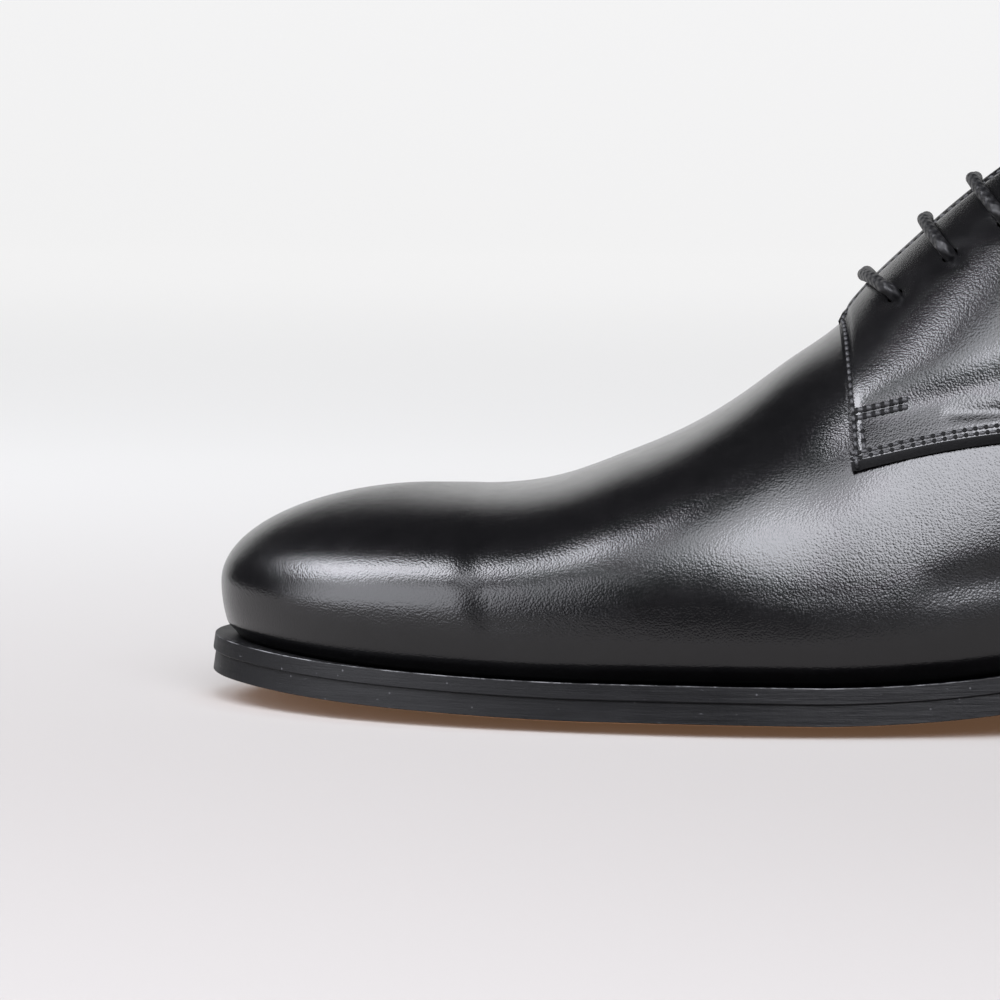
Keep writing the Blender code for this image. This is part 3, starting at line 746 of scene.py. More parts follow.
def last_wall(side):
    """One side of the last by share along and climb up: its points, their reach from the ridge."""
    share = np.linspace(0, 1, STATIONS)
    spine = spine_point(share)
    foot = edge_point(side, share, welt_at(station_along(share)))
    rest = np.linalg.norm(foot - spine, axis=1)
    spread = rest / np.linalg.norm(edge_point(side, share, 0) - spine, axis=1)
    low = underside(foot[:, 0], spread) + UPPER_BED
    belly, along = belly_at[side](spine[:, 0]), spine[:, 0]
    widest, waist = rest + belly, low + belly_up_at(along)
    lower = np.linspace(0, 1, WALL_SAMPLES, endpoint=False)
    turn = np.linspace(0, math.pi / 2, CROWN_SAMPLES)
    points, reaches = np.empty((STATIONS, CLIMBS, 3)), np.empty((STATIONS, CLIMBS))
    for i in range(STATIONS):
        power = 2 / fullness_at(along[i])
        cos, sin = np.clip(np.cos(turn), 0, 1) ** power, np.sin(turn) ** power
        cos[-1] = 0
        reach = np.append(widest[i] - belly[i] * (1 - lower) ** 2, widest[i] * cos)
        crown = waist[i] + (crown_at(along[i]) - waist[i]) * sin
        height = np.append(low[i] + (waist[i] - low[i]) * lower, crown)
        run = np.append(0, np.cumsum(np.hypot(np.diff(reach), np.diff(height))))
        reaches[i] = np.interp(CLIMB, run / run[-1], reach)
        points[i, :, :2] = spine[i] + np.outer(reaches[i], (foot[i] - spine[i]) / rest[i])
        points[i, :, 2] = np.interp(CLIMB, run / run[-1], height)
    return points, reaches


def outward_ways(points, side):
    """Directions straight out of one side of the last."""
    ahead, upward = np.gradient(points, axis=0), np.gradient(points, axis=1)
    ways = np.cross(ahead, upward) * -side
    ways[:, -1] = ways[:, -2]
    return ways / np.linalg.norm(ways, axis=-1)[..., None]


LAST, REACH = {}, {}
for side in (OUTER, INNER):
    LAST[side], REACH[side] = last_wall(side)
WAYS = {side: outward_ways(LAST[side], side) for side in (OUTER, INNER)}
for seam in (np.s_[0, :], np.s_[-1, :], np.s_[:, -1]):
    shared = WAYS[OUTER][seam] + WAYS[INNER][seam]
    shared /= np.linalg.norm(shared, axis=-1)[..., None]
    WAYS[OUTER][seam] = WAYS[INNER][seam] = shared


def between(table, share, climb):
    """A table's value between its stations and climbs."""
    i, j = np.clip(share, 0, 1) * (STATIONS - 1), np.clip(climb, 0, 1) * (CLIMBS - 1)
    i0, j0 = np.minimum(i.astype(int), STATIONS - 2), np.minimum(j.astype(int), CLIMBS - 2)
    f, g = i - i0, j - j0
    if table.ndim == 3:
        f, g = f[..., None], g[..., None]
    near = table[i0, j0] * (1 - g) + table[i0, j0 + 1] * g
    far = table[i0 + 1, j0] * (1 - g) + table[i0 + 1, j0 + 1] * g
    return near * (1 - f) + far * f


def last_point(side, share, climb, lift=0.0):
    """Points lifted off the last along its own outward direction."""
    share, climb = np.broadcast_arrays(np.asarray(share, float), np.asarray(climb, float))
    return between(LAST[side], share, climb) + np.asarray(lift)[..., None] * between(
        WAYS[side], share, climb
    )


def wall_row(table, share):
    """One column of a table up the wall at a share."""
    i = min(int(share * (STATIONS - 1)), STATIONS - 2)
    f = share * (STATIONS - 1) - i
    return table[i] * (1 - f) + table[i + 1] * f


def climb_at_height(side, share, height):
    """Climb where the wall reaches a height."""
    return float(np.interp(height, wall_row(LAST[side][..., 2], share), CLIMB))


def climb_at_reach(side, share, reach):
    """Climb where the wall comes within a reach of the ridge, above its widest place."""
    row = wall_row(REACH[side], share)
    widest = int(np.argmax(row))
    return float(np.interp(-reach, -row[widest:], CLIMB[widest:]))


def edge_climb(side, share, facing):
    """Climb where the top edge stops: the facing, then the collar."""
    along = float(station_along(share))
    top = climb_at_reach(side, share, facing)
    if along > COLLAR[0].along:
        top = min(top, climb_at_height(side, share, float(collar_at[side](along))))
    return top


def slot_half_width(along):
    """Half the slot in the upper's wall: closed over the vamp, then just behind the facings."""
    opening = np.clip((along - SLOT_START) / (SLOT_FULL - SLOT_START), 0, 1)
    return float((half_gap_at(along) + SLOT_BACK) * math.sqrt(opening * (2 - opening)))


def furrow(points, route, width, depth, under=None):
    """Soft trough along (along, up) marks that fades at both ends. Under is its lower width."""
    marks = np.asarray(route, float)
    spots = points[:, (0, 2)]
    run = path_run(marks)
    near, where = np.full(len(spots), np.inf), np.zeros(len(spots))
    wide = np.full(len(spots), width)
    for start, end, begin in zip(marks[:-1], marks[1:], run):
        span = end - start
        part = np.clip((spots - start) @ span / (span @ span), 0, 1)
        away = spots - start - part[:, None] * span
        gap = np.linalg.norm(away, axis=1)
        closer = gap < near
        near[closer] = gap[closer]
        wide[closer] = np.where(away[closer, 1] > 0, width, under or width)
        where[closer] = begin + part[closer] * np.linalg.norm(span)
    fade = np.sin(math.pi * np.clip(where / run[-1], 0, 1)) ** 0.6
    return -depth * fade * np.exp(-((near / wide) ** 2))


VAMP_FURROWS = [
    ([(62, 25.0), (74, 24.0), (88, 23.5)], 1.2, 0.05),
    ([(70, 22.0), (86, 21.0), (104, 21.5)], 1.0, 0.05),
    ([(96, 25.0), (112, 24.5), (128, 25.5)], 1.3, 0.04),
    ([(130, 25.0), (143, 27.5), (158, 29.0)], 3.4, 0.5),
]


def vamp_shape(points, climb):
    """How far the leather stands off the last: tuck at the welt, step behind the toe, waves."""
    along, _, up = points.T
    low = np.clip(1 - climb / (TUCK_HEIGHT / WALL_RUN), 0, 1)
    lift = -TUCK_DEPTH * low**1.6
    behind = along - (TOE_STEP + TOE_STEP_SLANT * (TOE_STEP_LEVEL - up))
    step = np.clip(behind / TOE_STEP_LONG + 0.5, 0, 1)
    fade = np.exp(-((np.clip(behind, 0, None) / TOE_STEP_FADE) ** 2))
    wall = np.clip((up - TOE_STEP_FOOT) / TOE_STEP_RISE, 0, 1)
    wall = wall * np.clip((TOE_STEP_TOP - up) / TOE_STEP_FALL, 0, 1)
    lift -= TOE_STEP_DEEP * step**2 * (3 - 2 * step) * fade * wall
    off_along = (along - TOE_BULGE_ALONG[0]) / TOE_BULGE_ALONG[1]
    off_up = (up - TOE_BULGE_UP[0]) / TOE_BULGE_UP[1]
    lift += TOE_BULGE * np.exp(-(off_along**2) - off_up**2)
    for route, width, depth in VAMP_FURROWS:
        lift += furrow(points, route, width, depth)
    return lift


def eyelet_frame(side, number):
    """Centre of an eyelet on the quarter's face, the way out of it, and how far along it is."""
    along = EYELET_FIRST + number * EYELET_PITCH * math.cos(FACING_SLOPE)
    share = float(station_share(along))
    climb = climb_at_reach(side, share, EYELET_REACH)
    inside = last_point(side, share, climb, QUARTER_GAP)
    face = last_point(side, share, climb, QUARTER_GAP + QUARTER_THICK)
    return face, (face - inside) / np.linalg.norm(face - inside), along


def punch_eyelets(mesh, side, radius):
    """Opens a round hole at each eyelet: the corners round it move onto the circle."""
    for number in range(EYELETS):
        face, out, _ = eyelet_frame(side, number)
        centre, out = Vector(to_world(face)), Vector(out)

        def off(vert):
            away = vert.co - centre
            return away - out * away.dot(out)

        near = [v for v in mesh.verts if (v.co - centre).length < EYELET_NEAR * MM]
        gone = [v for v in near if off(v).length < EYELET_CUT * radius * MM]
        bmesh.ops.delete(mesh, geom=gone, context="VERTS")
        for vert in mesh.verts:
            if vert.is_boundary and (vert.co - centre).length < EYELET_NEAR * MM:
                away = off(vert)
                if away.length < EYELET_PULL * radius * MM:
                    vert.co += away.normalized() * radius * MM - away


def calf_finish(name, gloss):
    """Smooth box calf, dyed black and polished: a fine even grain under a satin wax."""
    material, shade, place = start_finish(name)
    broad = noise(place, 24, 3)
    mottle = noise(place, 230, 4, 0.6)
    soft_cells = {"Vector": place, "Scale": 2500, "Smoothness": 0.15}
    pebble = place.node("TexVoronoi", {"feature": "SMOOTH_F1"}, soft_cells)
    fibre = noise(place, 3800, 3, 0.6)
    colour = blend_colour(mottle, (0.0012, 0.0012, 0.0014, 1), (0.0028, 0.0027, 0.0029, 1))
    waves = bump(noise(place, 55, 1), 0.035)
    grain = bump(0.5 * fibre - pebble, 0.031, waves)
    close_finish(
        shade,
        {
            "Base Color": colour,
            "Roughness": gloss + 0.10 * (broad - 0.5) + 0.10 * (mottle - 0.5),
            "Normal": grain,
            "Coat Weight": 0.04 + 0.1 * broad,
            "Coat Roughness": 0.26,
            "Specular IOR Level": 0.45,
        },
    )
    return material


BLACK_CALF = calf_finish("black_calf", 0.205)
LINING = bare_leather_finish("lining_leather", (0.47, 0.32, 0.19, 1), (0.38, 0.25, 0.14, 1), 0.3)
mesh = bmesh.new()
for side in (OUTER, INNER):
    columns = np.linspace(0, 1, UPPER_STEPS[0] + 1)
    tops = [
        edge_climb(side, share, slot_half_width(float(station_along(share)))) for share in columns
    ]

    def place(u, v, side=side, tops=tops):
        climb = np.interp(u, columns, tops) * (ROW_EVEN * v + ROW_CLOSE * v * v)
        points = last_point(side, u, climb, vamp_shape(last_point(side, u, climb), climb))
        points[:, 2] -= TUCK_DROP * np.clip(1 - climb * TUCK_STEEP, 0, 1) ** 2
        return points

    lay_grid(mesh, UPPER_STEPS, place)
weld(mesh, (0, -1, 0))
for side in (OUTER, INNER):
    punch_eyelets(mesh, side, EYELET_RADIUS + EYELET_EASE)
upper = make_piece("upper_leather", mesh, (BLACK_CALF, LINING), "black_calf", "upper")
thicken(upper, UPPER_WALL, inside=1)

# Quarters: the two side panels, cut from the same calf and sewn over the vamp with a double row.
# Their facings carry the eyelets and stay open over the tongue. A bar of stitching holds each
# front corner, a single row follows the front and throat edges, and all edges are cut and inked.
QUARTER_STEPS = (220, 96)
QUARTER_PACES = [(0.0, 117.8), (0.5, 172.0), (1.0, LENGTH)]
QUARTER_FRONT_LOW, QUARTER_FRONT_TOP, QUARTER_BLEND = 119.4, 116.2, 14.0
QUARTER_FOOT_RISE = 1.3
BACK_SEAM = 1 - 0.15 / LENGTH
THROAT_CORNER, FACING_TOP = 8.5, 169.0
FACING_LIFT, FACING_LIFT_REACH = 0.5, 12.0
Seam = namedtuple("Seam", "along height")
SEAM = [
    Seam(119.4, 45.0),
    Seam(130, 47.7),
    Seam(144, 50.1),
    Seam(157, 50.8),
    Seam(170, 48.8),
    Seam(182, 43.9),
    Seam(193, 35.6),
    Seam(203, 24.0),
    Seam(207, 18.0),
]
seam_at = reader(SEAM, "height")
QUARTER_ROUND, QUARTER_EASE, SHARP_EDGE = 0.45, 0.03, 60
# The third value on the next line sizes the dark discs of painted shade at the needle holes.
STITCH, THREAD, HOLE_SHADE, STITCH_FILL, STITCH_SUNK = 1.85, 0.40, 0.46, 0.72, 0.08
FRONT_ROW, THROAT_ROW, SEAM_ROWS, BACK_ROW, ROW_SUNK = 1.0, 1.7, (2.45, 3.8), 1.6, 0.24
FRONT_DIP, THROAT_DIP, FRONT_SPREAD = (FRONT_ROW + 0.1, 0.5), (THROAT_ROW, 0.7), (0.77, 0.46)
EDGE_SAMPLES, THROAT_SAMPLES, SEAM_SAMPLES, CORNER_SAMPLES = 60, 500, 260, (55, 100)
BAR, BAR_ROWS, POST = [(119.2, 54.2), (128.4, 56.4)], (0.0, 1.25), [(120.9, 49.0), (120.0, 53.6)]
BAR_STITCH, BAR_FILL, BAR_SUNK, BAR_HEAVY = 1.5, 0.8, 0.1, 1.5
MARK_SAMPLES, MARK_REACH = 12, 0.2
CUT_ROWS, CUT_WIDE, CUT_DEEP, CUT_TURN = 5, 1.5, 0.8, 1.3
EYELET_DIMPLE, EYELET_DIMPLE_WIDE = 0.45, 3.4
QUARTER_FURROWS = [
    ([(116, 52.8), (122, 54.2), (127, 55.6), (134, 57.8), (143, 60.4), (150, 61.8)], 3.7, 1.4, 7.0),
    ([(134, 55.8), (144, 56.1), (154, 57.0)], 1.2, 0.4, 1.2),
]


def facing_half_gap(along):
    """Half the gap between the facings, with their rounded front corners."""
    left = max(0.0, QUARTER_FRONT_TOP + THROAT_CORNER - along)
    corner = THROAT_CORNER - math.sqrt(max(0.0, THROAT_CORNER**2 - left**2))
    return float(half_gap_at(along)) + corner


def facing_lift(along, reach):
    """The facings spring a little off the instep along their edges."""
    fade = np.clip((FACING_TOP + THROAT_CORNER - along) / (2 * THROAT_CORNER), 0, 1)
    back = np.clip(reach - half_gap_at(along), 0, None) / FACING_LIFT_REACH
    return FACING_LIFT * fade * np.exp(-(back**2))


def quarter_point(side, share, climb, lift):
    """Points over the last at the quarter's level: lift 0 is its flesh side."""
    share, climb = np.broadcast_arrays(np.asarray(share, float), np.asarray(climb, float))
    spring = facing_lift(station_along(share), between(REACH[side], share, climb))
    return last_point(side, share, climb, QUARTER_GAP + spring + lift)


def quarter_columns(side):
    """The two ends of each column of a quarter: share and climb at its foot and at its top."""
    columns = np.linspace(0, 1, QUARTER_STEPS[0] + 1)
    along = np.interp(columns, *zip(*QUARTER_PACES))
    front = np.clip(1 - (along - along[0]) / QUARTER_BLEND, 0, 1) ** 2
    base = np.minimum(station_share(along), BACK_SEAM)
    low = base + front * (station_share(QUARTER_FRONT_LOW) - base[0])
    high = base + front * (station_share(QUARTER_FRONT_TOP) - base[0])
    feet, tops = [], []
    for low_share, high_share in zip(low, high):
        at = float(station_along(low_share))
        welt_top = last_point(side, low_share, 0.0)[2]
        foot = climb_at_height(side, low_share, welt_top + QUARTER_FOOT_RISE)
        if at < SEAM[-1].along:
            foot = max(foot, climb_at_height(side, low_share, float(seam_at(at))))
        feet.append(foot)
        tops.append(edge_climb(side, high_share, facing_half_gap(float(station_along(high_share)))))
    return columns, low, high, np.array(feet), np.array(tops)


def quarter_face(side, table, u, v):
    """Points of a quarter's face: u from front edge to back seam, v from lower edge to top."""
    columns, low, high, feet, tops = table
    low, high, feet, tops = (np.interp(u, columns, row) for row in (low, high, feet, tops))
    tall = np.linalg.norm(last_point(side, high, tops) - last_point(side, low, feet), axis=1)
    cut, wide = CUT_ROWS / QUARTER_STEPS[1], CUT_WIDE / tall
    v = np.where(v < cut, v / cut * wide, wide + (v - cut) / (1 - cut) * (1 - wide))
    share, climb = low + v * (high - low), feet + v * (tops - feet)
    points = quarter_point(side, share, climb, QUARTER_THICK)
    lift = -CUT_DEEP * np.clip(1 - v / wide, 0, 1) ** CUT_TURN
    spread = FRONT_SPREAD[0] + FRONT_SPREAD[1] * v
    from_front = 2 * (QUARTER_PACES[1][1] - QUARTER_PACES[0][1]) * u * spread
    from_top = CUT_WIDE * (1 - v) / wide
    for gap, (row, half) in ((from_front, FRONT_DIP), (from_top, THROAT_DIP)):
        lift -= ROW_SUNK * np.exp(-(((gap - row) / half) ** 2))
    for route, width, depth, under in QUARTER_FURROWS:
        lift += furrow(points, route, width, depth, under)
    for number in range(EYELETS):
        face, _, _ = eyelet_frame(side, number)
        gap = np.linalg.norm(points - face, axis=1)
        lift -= EYELET_DIMPLE * np.exp(-((gap / EYELET_DIMPLE_WIDE) ** 2))
    return quarter_point(side, share, climb, QUARTER_THICK + lift)


def inside_edge(surface, edge, toward, distance):
    """Line on a sheet at a distance inside its edge, and the sheet's outward way along it."""
    ahead = np.gradient(edge, axis=0)
    line, ways = [], []
    for point, way, inward in zip(edge, ahead, np.broadcast_to(distance, len(edge))):
        spot, normal, _, _ = surface.find_nearest(Vector(point))
        across = normal.cross(Vector(way)).normalized()
        if across.dot(Vector(toward) - spot) < 0:
            across = -across
        spot, normal, _, _ = surface.find_nearest(spot + across * inward * MM)
        line.append(spot)
        ways.append(normal)
    return np.array(line), np.array(ways)


def on_sheet(surface, marks, side):
    """Line on a sheet through (along, up) marks, as seen from the side."""
    line, ways = [], []
    for (along, up), (next_along, next_up) in zip(marks[:-1], marks[1:]):
        for part in np.linspace(0, 1, MARK_SAMPLES):
            spot = to_world((along + part * (next_along - along), 0, up + part * (next_up - up)))
            start = Vector((spot[0], side * MARK_REACH, spot[2]))
            hit, normal, _, _ = surface.ray_cast(start, Vector((0, -side, 0)))
            if hit:
                line.append(hit)
                ways.append(normal)
    return np.array(line), np.array(ways)


def cut_edge_finish(name):
    """Cut edge of the calf, inked dull black over loose fibres."""
    material, shade, place = start_finish(name)
    fibres = noise(place, 1400, 4, 0.65)
    colour = blend_colour(fibres, (0.0015, 0.0015, 0.0016, 1), (0.006, 0.006, 0.0063, 1))
    close_finish(
        shade,
        {
            "Base Color": colour,
            "Roughness": 0.5 + 0.25 * fibres,
            "Normal": bump(fibres, 0.08),
            "Specular IOR Level": 0.08,
        },
    )
    return material


CUT_EDGE = cut_edge_finish("cut_edge")
for side, word in ((OUTER, "outer"), (INNER, "inner")):
    table = quarter_columns(side)
    mesh = bmesh.new()
    corners = lay_grid(mesh, QUARTER_STEPS, lambda u, v, side=side: quarter_face(side, table, u, v))
    lowest = set(corners[: (CUT_ROWS + 1) * (QUARTER_STEPS[0] + 1)])
    for face in mesh.faces:
        face.material_index = int(lowest.issuperset(face.verts))
    weld(mesh, (0, side, 0))
    surface = BVHTree.FromBMesh(mesh)
    punch_eyelets(mesh, side, EYELET_RADIUS)
    quarter = make_piece(
        f"quarter_{word}_leather", mesh, (BLACK_CALF, CUT_EDGE), "black_calf", f"quarter_{word}"
    )
    thicken(quarter, QUARTER_THICK + QUARTER_GAP - QUARTER_EASE, rim=1)
    round_edges(quarter, QUARTER_ROUND, SHARP_EDGE, finish=0)

    def face_line(u, v, side=side):
        """A line over the quarter's face, in metres."""
        return to_world(quarter_face(side, table, *np.broadcast_arrays(u, v)))

    middle = face_line(np.array([0.4]), np.array([0.5]))[0]
    front = face_line(np.zeros(EDGE_SAMPLES), np.linspace(0.02, 0.995, EDGE_SAMPLES))
    throat = face_line(np.linspace(0, 1, THROAT_SAMPLES) ** 1.3, np.ones(THROAT_SAMPLES))
    lower = face_line(np.linspace(0.004, 0.64, SEAM_SAMPLES), np.zeros(SEAM_SAMPLES))
    back = face_line(np.ones(EDGE_SAMPLES), np.linspace(0.03, 0.97, EDGE_SAMPLES))
    outline = np.concatenate((front, throat[2:]))
    inward = np.interp(np.arange(len(outline)), CORNER_SAMPLES, (FRONT_ROW, THROAT_ROW))
    threads = bmesh.new()
    sewing = (STITCH, STITCH_FILL, THREAD, STITCH_SUNK, HOLE_SHADE)
    for edge, row in ((outline, inward), *((lower, row) for row in SEAM_ROWS), (back, BACK_ROW)):
        sew_row(threads, *inside_edge(surface, edge, middle, row), *sewing)
    heavy = (BAR_STITCH, BAR_FILL, THREAD * BAR_HEAVY, BAR_SUNK, HOLE_SHADE * BAR_HEAVY)
    for rise in BAR_ROWS:
        bar = [(along, up + rise) for along, up in BAR]
        sew_row(threads, *on_sheet(surface, bar, side), *heavy)
    sew_row(threads, *on_sheet(surface, POST, side), *sewing)
    # The second finish, the dark inked edge, colours the discs of painted shade at the needle
    # holes.
    make_piece(f"quarter_{word}_stitches", threads, (BLACK_THREAD, CUT_EDGE), "black_calf")

# Tongue: a loose tab of the same calf, sewn to the vamp under the throat and lined with tan
# leather. It lies under the facings and its free end rises a little above them.
TONGUE_THICK, TONGUE_UNDER, TONGUE_ROUND, TONGUE_EDGE = 1.6, 2.8, 6.0, 0.5
TONGUE_STEPS = (72, 56)
Tongue = namedtuple("Tongue", "along half_width lift")
TONGUE = [
    Tongue(116, 16.0, 0.0),
    Tongue(124, 24.0, 0.0),
    Tongue(138, 25.0, 0.0),
    Tongue(155, 26.0, 0.0),
    Tongue(168, 27.0, 0.0),
    Tongue(176, 27.0, 0.4),
    Tongue(183, 25.0, 2.2),
    Tongue(188, 19.0, 4.0),
]
tongue_width_at, tongue_lift_at = reader(TONGUE, "half_width"), reader(TONGUE, "lift")


def tongue_point(u, v):
    """Points of the tongue's face: u from the throat to its rounded end, v across it."""
    out = 2 * v - 1
    along = TONGUE[0].along + u * (TONGUE[-1].along - TONGUE_ROUND * out**4 - TONGUE[0].along)
    across = out * tongue_width_at(along)
    share = station_share(along)
    points = np.empty((len(u), 3))
    for i in range(len(u)):
        side = INNER if across[i] > 0 else OUTER
        climb = climb_at_reach(side, share[i], abs(across[i]))
        points[i] = last_point(side, share[i], climb, -TONGUE_UNDER)
    points[:, 2] += tongue_lift_at(along) * (1 - out**4)
    return points


mesh = bmesh.new()
lay_grid(mesh, TONGUE_STEPS, tongue_point)
weld(mesh, (0, 0, 1))
tongue = make_piece("tongue_leather", mesh, (BLACK_CALF, LINING), "black_calf", "tongue")
thicken(tongue, TONGUE_THICK, inside=1)
round_edges(tongue, TONGUE_EDGE, SHARP_EDGE)

# Lace: one round cord of braided cotton, dyed black and waxed. It runs in straight bars over the
# facings and passes under them from hole to hole, and its two ends stop behind the top eyelets.
LACE_RADIUS, LACE_CLEAR = 1.2, 0.05
LACE_STEPS = (16, 1800)
LACE_SAG, LACE_UNDER, LOWEST_LEAN, LEAN_START = 0.1, 3.9, 2.6, 0.2
HOLE_MARKS = [(-3.6, 0.0), (-1.4, 0.0), (0.0, -0.1), (0.95, 0.15)]
BAR_MARKS, BAR_START, SETTLING = 6, 2.2, 12
BRAID_STEP, BRAID_STRANDS = 2.6, 8


def lace_over(side, number):
    """Half a bar, from the eyelet over the facing to its edge, where both halves are level."""
    face, out, start = eyelet_frame(side, number)
    slope = np.array((math.cos(FACING_SLOPE), 0, math.sin(FACING_SLOPE)))
    level = float((eyelet_frame(OUTER, number)[0] - face) @ slope) - LOWEST_LEAN * (number == 0)
    route, along = [], start
    leans = np.linspace(LEAN_START, 1, BAR_MARKS)
    reaches = np.linspace(EYELET_REACH - BAR_START, float(half_gap_at(start)), BAR_MARKS)
    for part, reach in zip(leans, reaches):
        for _ in range(SETTLING):
            share = float(station_share(along))
            climb = climb_at_reach(side, share, reach)
            point = quarter_point(side, share, climb, QUARTER_THICK + LACE_RADIUS + LACE_CLEAR)
            along -= (float((point - face) @ slope) - part * level) * math.cos(FACING_SLOPE)
        route.append(point)
    lead = route[0] - face
    lead = (lead - (lead @ out) * out) / np.linalg.norm(lead - (lead @ out) * out)
    return [face + out * rise + lead * onward for rise, onward in HOLE_MARKS] + route


def lace_route():
    """Marks of the whole lace: bars over the facings, runs under them, ends at the top eyelets."""
    route = []
    for number in range(EYELETS - 1, -1, -1):
        outer, inner = lace_over(OUTER, number), lace_over(INNER, number)
        middle = 0.5 * (outer[-1] + inner[-1]) - (0, 0, LACE_SAG)
        bar = [*outer, middle, *inner[::-1]]
        route += bar if (EYELETS - 1 - number) % 2 == 0 else bar[::-1]
    for number in range(1, EYELETS):
        face, out, _ = eyelet_frame(INNER, number)
        route.append(face - out * LACE_UNDER)
    return np.array(route)


def carry_square(ways, square):
    """Directions square to a line's own ways, carried along it without twist."""
    carried = []
    for way in ways:
        square = square - (square @ way) * way
        square = square / np.linalg.norm(square)
        carried.append(square)
    return np.array(carried)


marks = lace_route()
run = path_run(marks)
LACE_LENGTH = run[-1]
lace_line = spline(run, marks)(np.linspace(0, LACE_LENGTH, LACE_STEPS[1] + 1))
lace_ways = np.gradient(lace_line, axis=0)
lace_ways /= np.linalg.norm(lace_ways, axis=1)[:, None]
lace_across = carry_square(lace_ways, np.array((1.0, 0.0, 0.0)))


def lace_point(u, v):
    """Skin of the cord: u goes round it and v along it."""
    at = np.rint(v * LACE_STEPS[1]).astype(int)
    turn = 2 * math.pi * u[:, None]
    up = np.cross(lace_ways[at], lace_across[at])
    return lace_line[at] + LACE_RADIUS * (np.cos(turn) * lace_across[at] + np.sin(turn) * up)


def braid_finish(name):
    """Waxed braided cord: strands cross both ways round it, with painted shade in the hollows."""
    material, shade, _ = start_finish(name)
    place = shade.node("UVMap", {}, {})
    around, along = (shade.node("SeparateXYZ", {}, {0: place}, axis) for axis in (0, 1))
    turn = around * (BRAID_STRANDS * math.pi)
    climb = along * (2 * math.pi * LACE_LENGTH / BRAID_STEP)
    one = shade.math("SINE", turn + climb)
    two = shade.math("SINE", turn - climb)
    strands = 0.5 + 0.25 * one + 0.25 * two
    body = shade.node("TexCoord", {}, {}, "Object")
    wax = noise(body, 700, 4, 0.65)
    # The colour darkens where the strands' relief is low: painted shade in the hollows between
    # them.
    colour = blend_colour(strands, (0.0015, 0.0015, 0.0017, 1), (0.007, 0.007, 0.0078, 1))
    close_finish(
        shade,
        {
            "Base Color": colour,
            "Roughness": 0.2 + 0.5 * wax,
            "Normal": bump(noise(body, 3000, 3), 0.05, bump(strands, 0.22)),
            "Specular IOR Level": 0.28,
        },
    )
    return material


WAXED_CORD = braid_finish("waxed_cord")
mesh = bmesh.new()
uv = mesh.loops.layers.uv.new("UVMap")
made = bmesh.ops.create_grid(mesh, x_segments=LACE_STEPS[0], y_segments=LACE_STEPS[1], size=0.5)
flat = {vert: (vert.co.x + 0.5, vert.co.y + 0.5) for vert in made["verts"]}
for face in mesh.faces:
    for loop in face.loops:
        loop[uv].uv = flat[loop.vert]
round_way, along_way = np.array([flat[vert] for vert in made["verts"]]).T
for vert, point in zip(made["verts"], to_world(lace_point(round_way, along_way))):
    vert.co = point
bmesh.ops.remove_doubles(mesh, verts=mesh.verts, dist=0.001 * MM)
ends = [edge for edge in mesh.edges if edge.is_boundary]
bmesh.ops.holes_fill(mesh, edges=ends, sides=0)
bmesh.ops.recalc_face_normals(mesh, faces=mesh.faces)
make_piece(
    "lace", mesh, (WAXED_CORD,), "lace_cord", *(f"lace_bar_{n + 1}" for n in range(EYELETS))
)

# Studio: a pale paper floor that bends up into a low wall, more paper in front of the picture,
# and a far pale wall that only the camera sees. Softboxes hang in front, high up and off the toe,
# white cards stand off toe and heel, and a tan glow is painted into the paper under the
# forepart: painted bounce light from the tan sole.
FLOOR_STEPS, WALL_STEPS = (48, 90), (96, 4)
FLOOR_HALF, FLOOR_FRONT, FLOOR_BACK, FLOOR_BEND, PAPER_HIGH = 2.4, -0.31, 2.2, 0.45, 0.9
FRONT_STEPS, FRONT_PAPER = (24, 24), 2.4
FAR_WALL, FAR_HIGH = 7.0, 6.0
# The forepart ellipse marks where the paper gets a tan glow, the second colour on the next-but-one
# line: painted bounce light from the tan sole.
FOREPART_MIDDLE, FOREPART_LONG, FOREPART_WIDE, FOREPART_RIM = -0.05, 0.1, 0.0525, (0.85, 1.15)
NEAR_GLOW, PAINTED_SOLE_BOUNCE = (0.090, 0.062, 0.044, 1), (0.0955, 0.055, 0.032, 1)
PAPER_SHADES = (1.0, 0.99, 0.97), (1.02, 1.01, 0.99)
SHOE_MIDDLE, TOE_MIDDLE, COOL_WHITE = (-0.03, 0, 0.03), (-0.1, 0, 0.03), (0.96, 0.97, 1.04)


def paper_point(u, v):
    """The paper lies flat, bends up behind the shoe and ends low."""
    bend = 0.5 * math.pi * FLOOR_BEND
    run = v * (FLOOR_BACK - FLOOR_FRONT + bend + PAPER_HIGH)
    flat = np.minimum(run, FLOOR_BACK - FLOOR_FRONT)
    turn = np.clip((run - flat) / FLOOR_BEND, 0, 0.5 * math.pi)
    wall = np.clip(run - flat - bend, 0, None)
    back = FLOOR_FRONT + flat + FLOOR_BEND * np.sin(turn)
    high = FLOOR_BEND * (1 - np.cos(turn)) + wall
    return np.column_stack(((2 * u - 1) * FLOOR_HALF, back, high)) / MM + (LENGTH / 2, 0, 0)


def front_paper_point(u, v):
    """The paper in front of the shoe, out of the picture, kept out of the leather's reflections."""
    flat = FLOOR_FRONT - FRONT_PAPER * (1 - v)
    return np.column_stack(((2 * u - 1) * FLOOR_HALF, flat, 0 * v)) / MM + (LENGTH / 2, 0, 0)


def far_wall_point(u, v):
    """A ring of wall far round the studio."""
    turn = 2 * math.pi * u
    high = (v - 0.5) * 2 * FAR_HIGH
    ring = np.column_stack((np.cos(turn) * FAR_WALL, np.sin(turn) * FAR_WALL, high))
    return ring / MM + (LENGTH / 2, 0, 0)


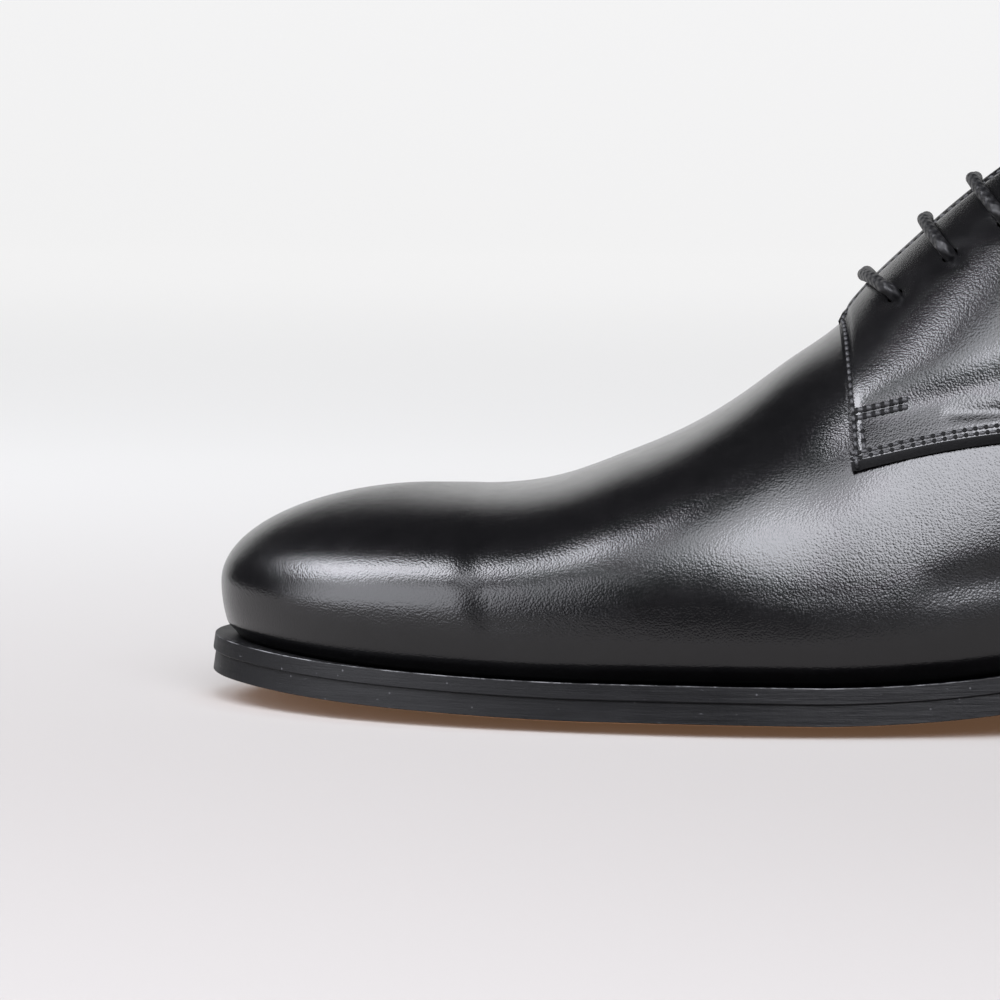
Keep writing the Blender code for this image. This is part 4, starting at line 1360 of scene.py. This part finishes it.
def paper_finish(name, pale, glow, start, far_glow, end):
    """Matte pale paper with a faint tooth, lit through at the back; painted tan bounce under the
    sole.
    """
    material, shade, place = start_finish(name)
    tooth, clouds = noise(place, 900, 3), noise(place, 3, 2)
    pales = [(pale * red, pale * green, pale * blue, 1) for red, green, blue in PAPER_SHADES]
    along, depth = (place.node("SeparateXYZ", {}, {0: place}, axis) for axis in (0, 1))
    behind, far = step_between(depth, *start), step_between(depth, *end)
    lit = blend_colour(behind, NEAR_GLOW, (glow, glow, glow, 1))
    # Inside the ellipse round the forepart the glow turns tan: painted bounce light from the sole.
    off_x, off_y = (along - FOREPART_MIDDLE) * (1 / FOREPART_LONG), depth * (1 / FOREPART_WIDE)
    clear = step_between(off_x * off_x + off_y * off_y, *FOREPART_RIM)
    lit = blend_colour(clear, PAINTED_SOLE_BOUNCE, lit)
    close_finish(
        shade,
        {
            "Base Color": blend_colour(clouds, *pales),
            "Roughness": 0.9 + 0.05 * tooth,
            "Specular IOR Level": 0.1,
            "Emission Color": blend_colour(far, lit, (far_glow, far_glow, far_glow, 1)),
            "Emission Strength": 1.0,
        },
    )
    return material


def set_stage(name, steps, place, finish):
    """Puts a sheet of paper round the shoe, as part of the studio."""
    mesh = bmesh.new()
    lay_grid(mesh, steps, place)
    bmesh.ops.recalc_face_normals(mesh, faces=mesh.faces)
    prop = put_in_scene(name, mesh, finish)
    return prop


PALE_PAPER = paper_finish("pale_paper", 0.25, 0.53, (-0.2, 0.6), 0.75, (0.3, 1.9))
set_stage("paper_floor", FLOOR_STEPS, paper_point, PALE_PAPER)
FRONT_PALE = paper_finish("front_paper", 0.25, 0.53, (-0.31, -1.3), 0.75, (-0.6, -2.5))
front_paper = set_stage("front_paper", FRONT_STEPS, front_paper_point, FRONT_PALE)
front_paper.visible_glossy = False
FAR_PALE = paper_finish("far_paper", 0.1, 0.85, (-20, -19), 0.85, (-20, -19))
far_wall = set_stage("far_wall", WALL_STEPS, far_wall_point, FAR_PALE)
far_wall.visible_diffuse = far_wall.visible_glossy = far_wall.visible_shadow = False


def hang_light(name, place, aim, size, power, roll=0):
    """A flat softbox or card that faces its aim, rolled by some degrees."""
    lamp = bpy.data.lights.new(name, "AREA")
    lamp.shape = "RECTANGLE"
    lamp.size, lamp.size_y = size
    lamp.energy = power
    lamp.color = COOL_WHITE
    light = bpy.data.objects.new(name, lamp)
    light.location = place
    turn = (Vector(aim) - Vector(place)).to_track_quat("-Z", "Y").to_matrix()
    light.rotation_euler = (turn @ Matrix.Rotation(math.radians(roll), 3, "Z")).to_euler()
    light.visible_camera = False
    bpy.context.scene.collection.objects.link(light)


hang_light("front_softbox", (0.18, -0.99, 0.80), SHOE_MIDDLE, (1.04, 0.72), 32, -45)
hang_light("high_softbox", (-0.263, -0.640, 1.078), SHOE_MIDDLE, (0.52, 0.72), 7.5, -39)
hang_light("toe_softbox", (-0.950, -0.105, 0.915), TOE_MIDDLE, (0.75, 0.45), 16, 48)
hang_light("toe_card", (-1.027, -0.535, 0.37), TOE_MIDDLE, (0.95, 0.78), 11.5)
hang_light("heel_card", (0.70, -1.0, 0.10), (0, 0, 0.03), (0.7, 0.22), 0.7)
world = bpy.data.worlds.new("studio")
world.use_nodes = True
world.node_tree.nodes["Background"].inputs["Color"].default_value = (0.03, 0.03, 0.032, 1)
bpy.context.scene.world = world
bpy.context.scene.view_settings.view_transform = "Standard"

eye, aim = Vector((0.0056, -0.950, 0.116)), Vector((-0.0968, 0.0, 0.0364))
lens = bpy.data.cameras.new("camera")
lens.lens = 190.0
lens.sensor_width = 36.0
lens.clip_start = 0.02
camera = bpy.data.objects.new("camera", lens)
camera.location = eye
camera.rotation_euler = (aim - eye).to_track_quat("-Z", "Y").to_euler()
bpy.context.scene.collection.objects.link(camera)
bpy.context.scene.camera = camera

bpy.context.view_layer.update()
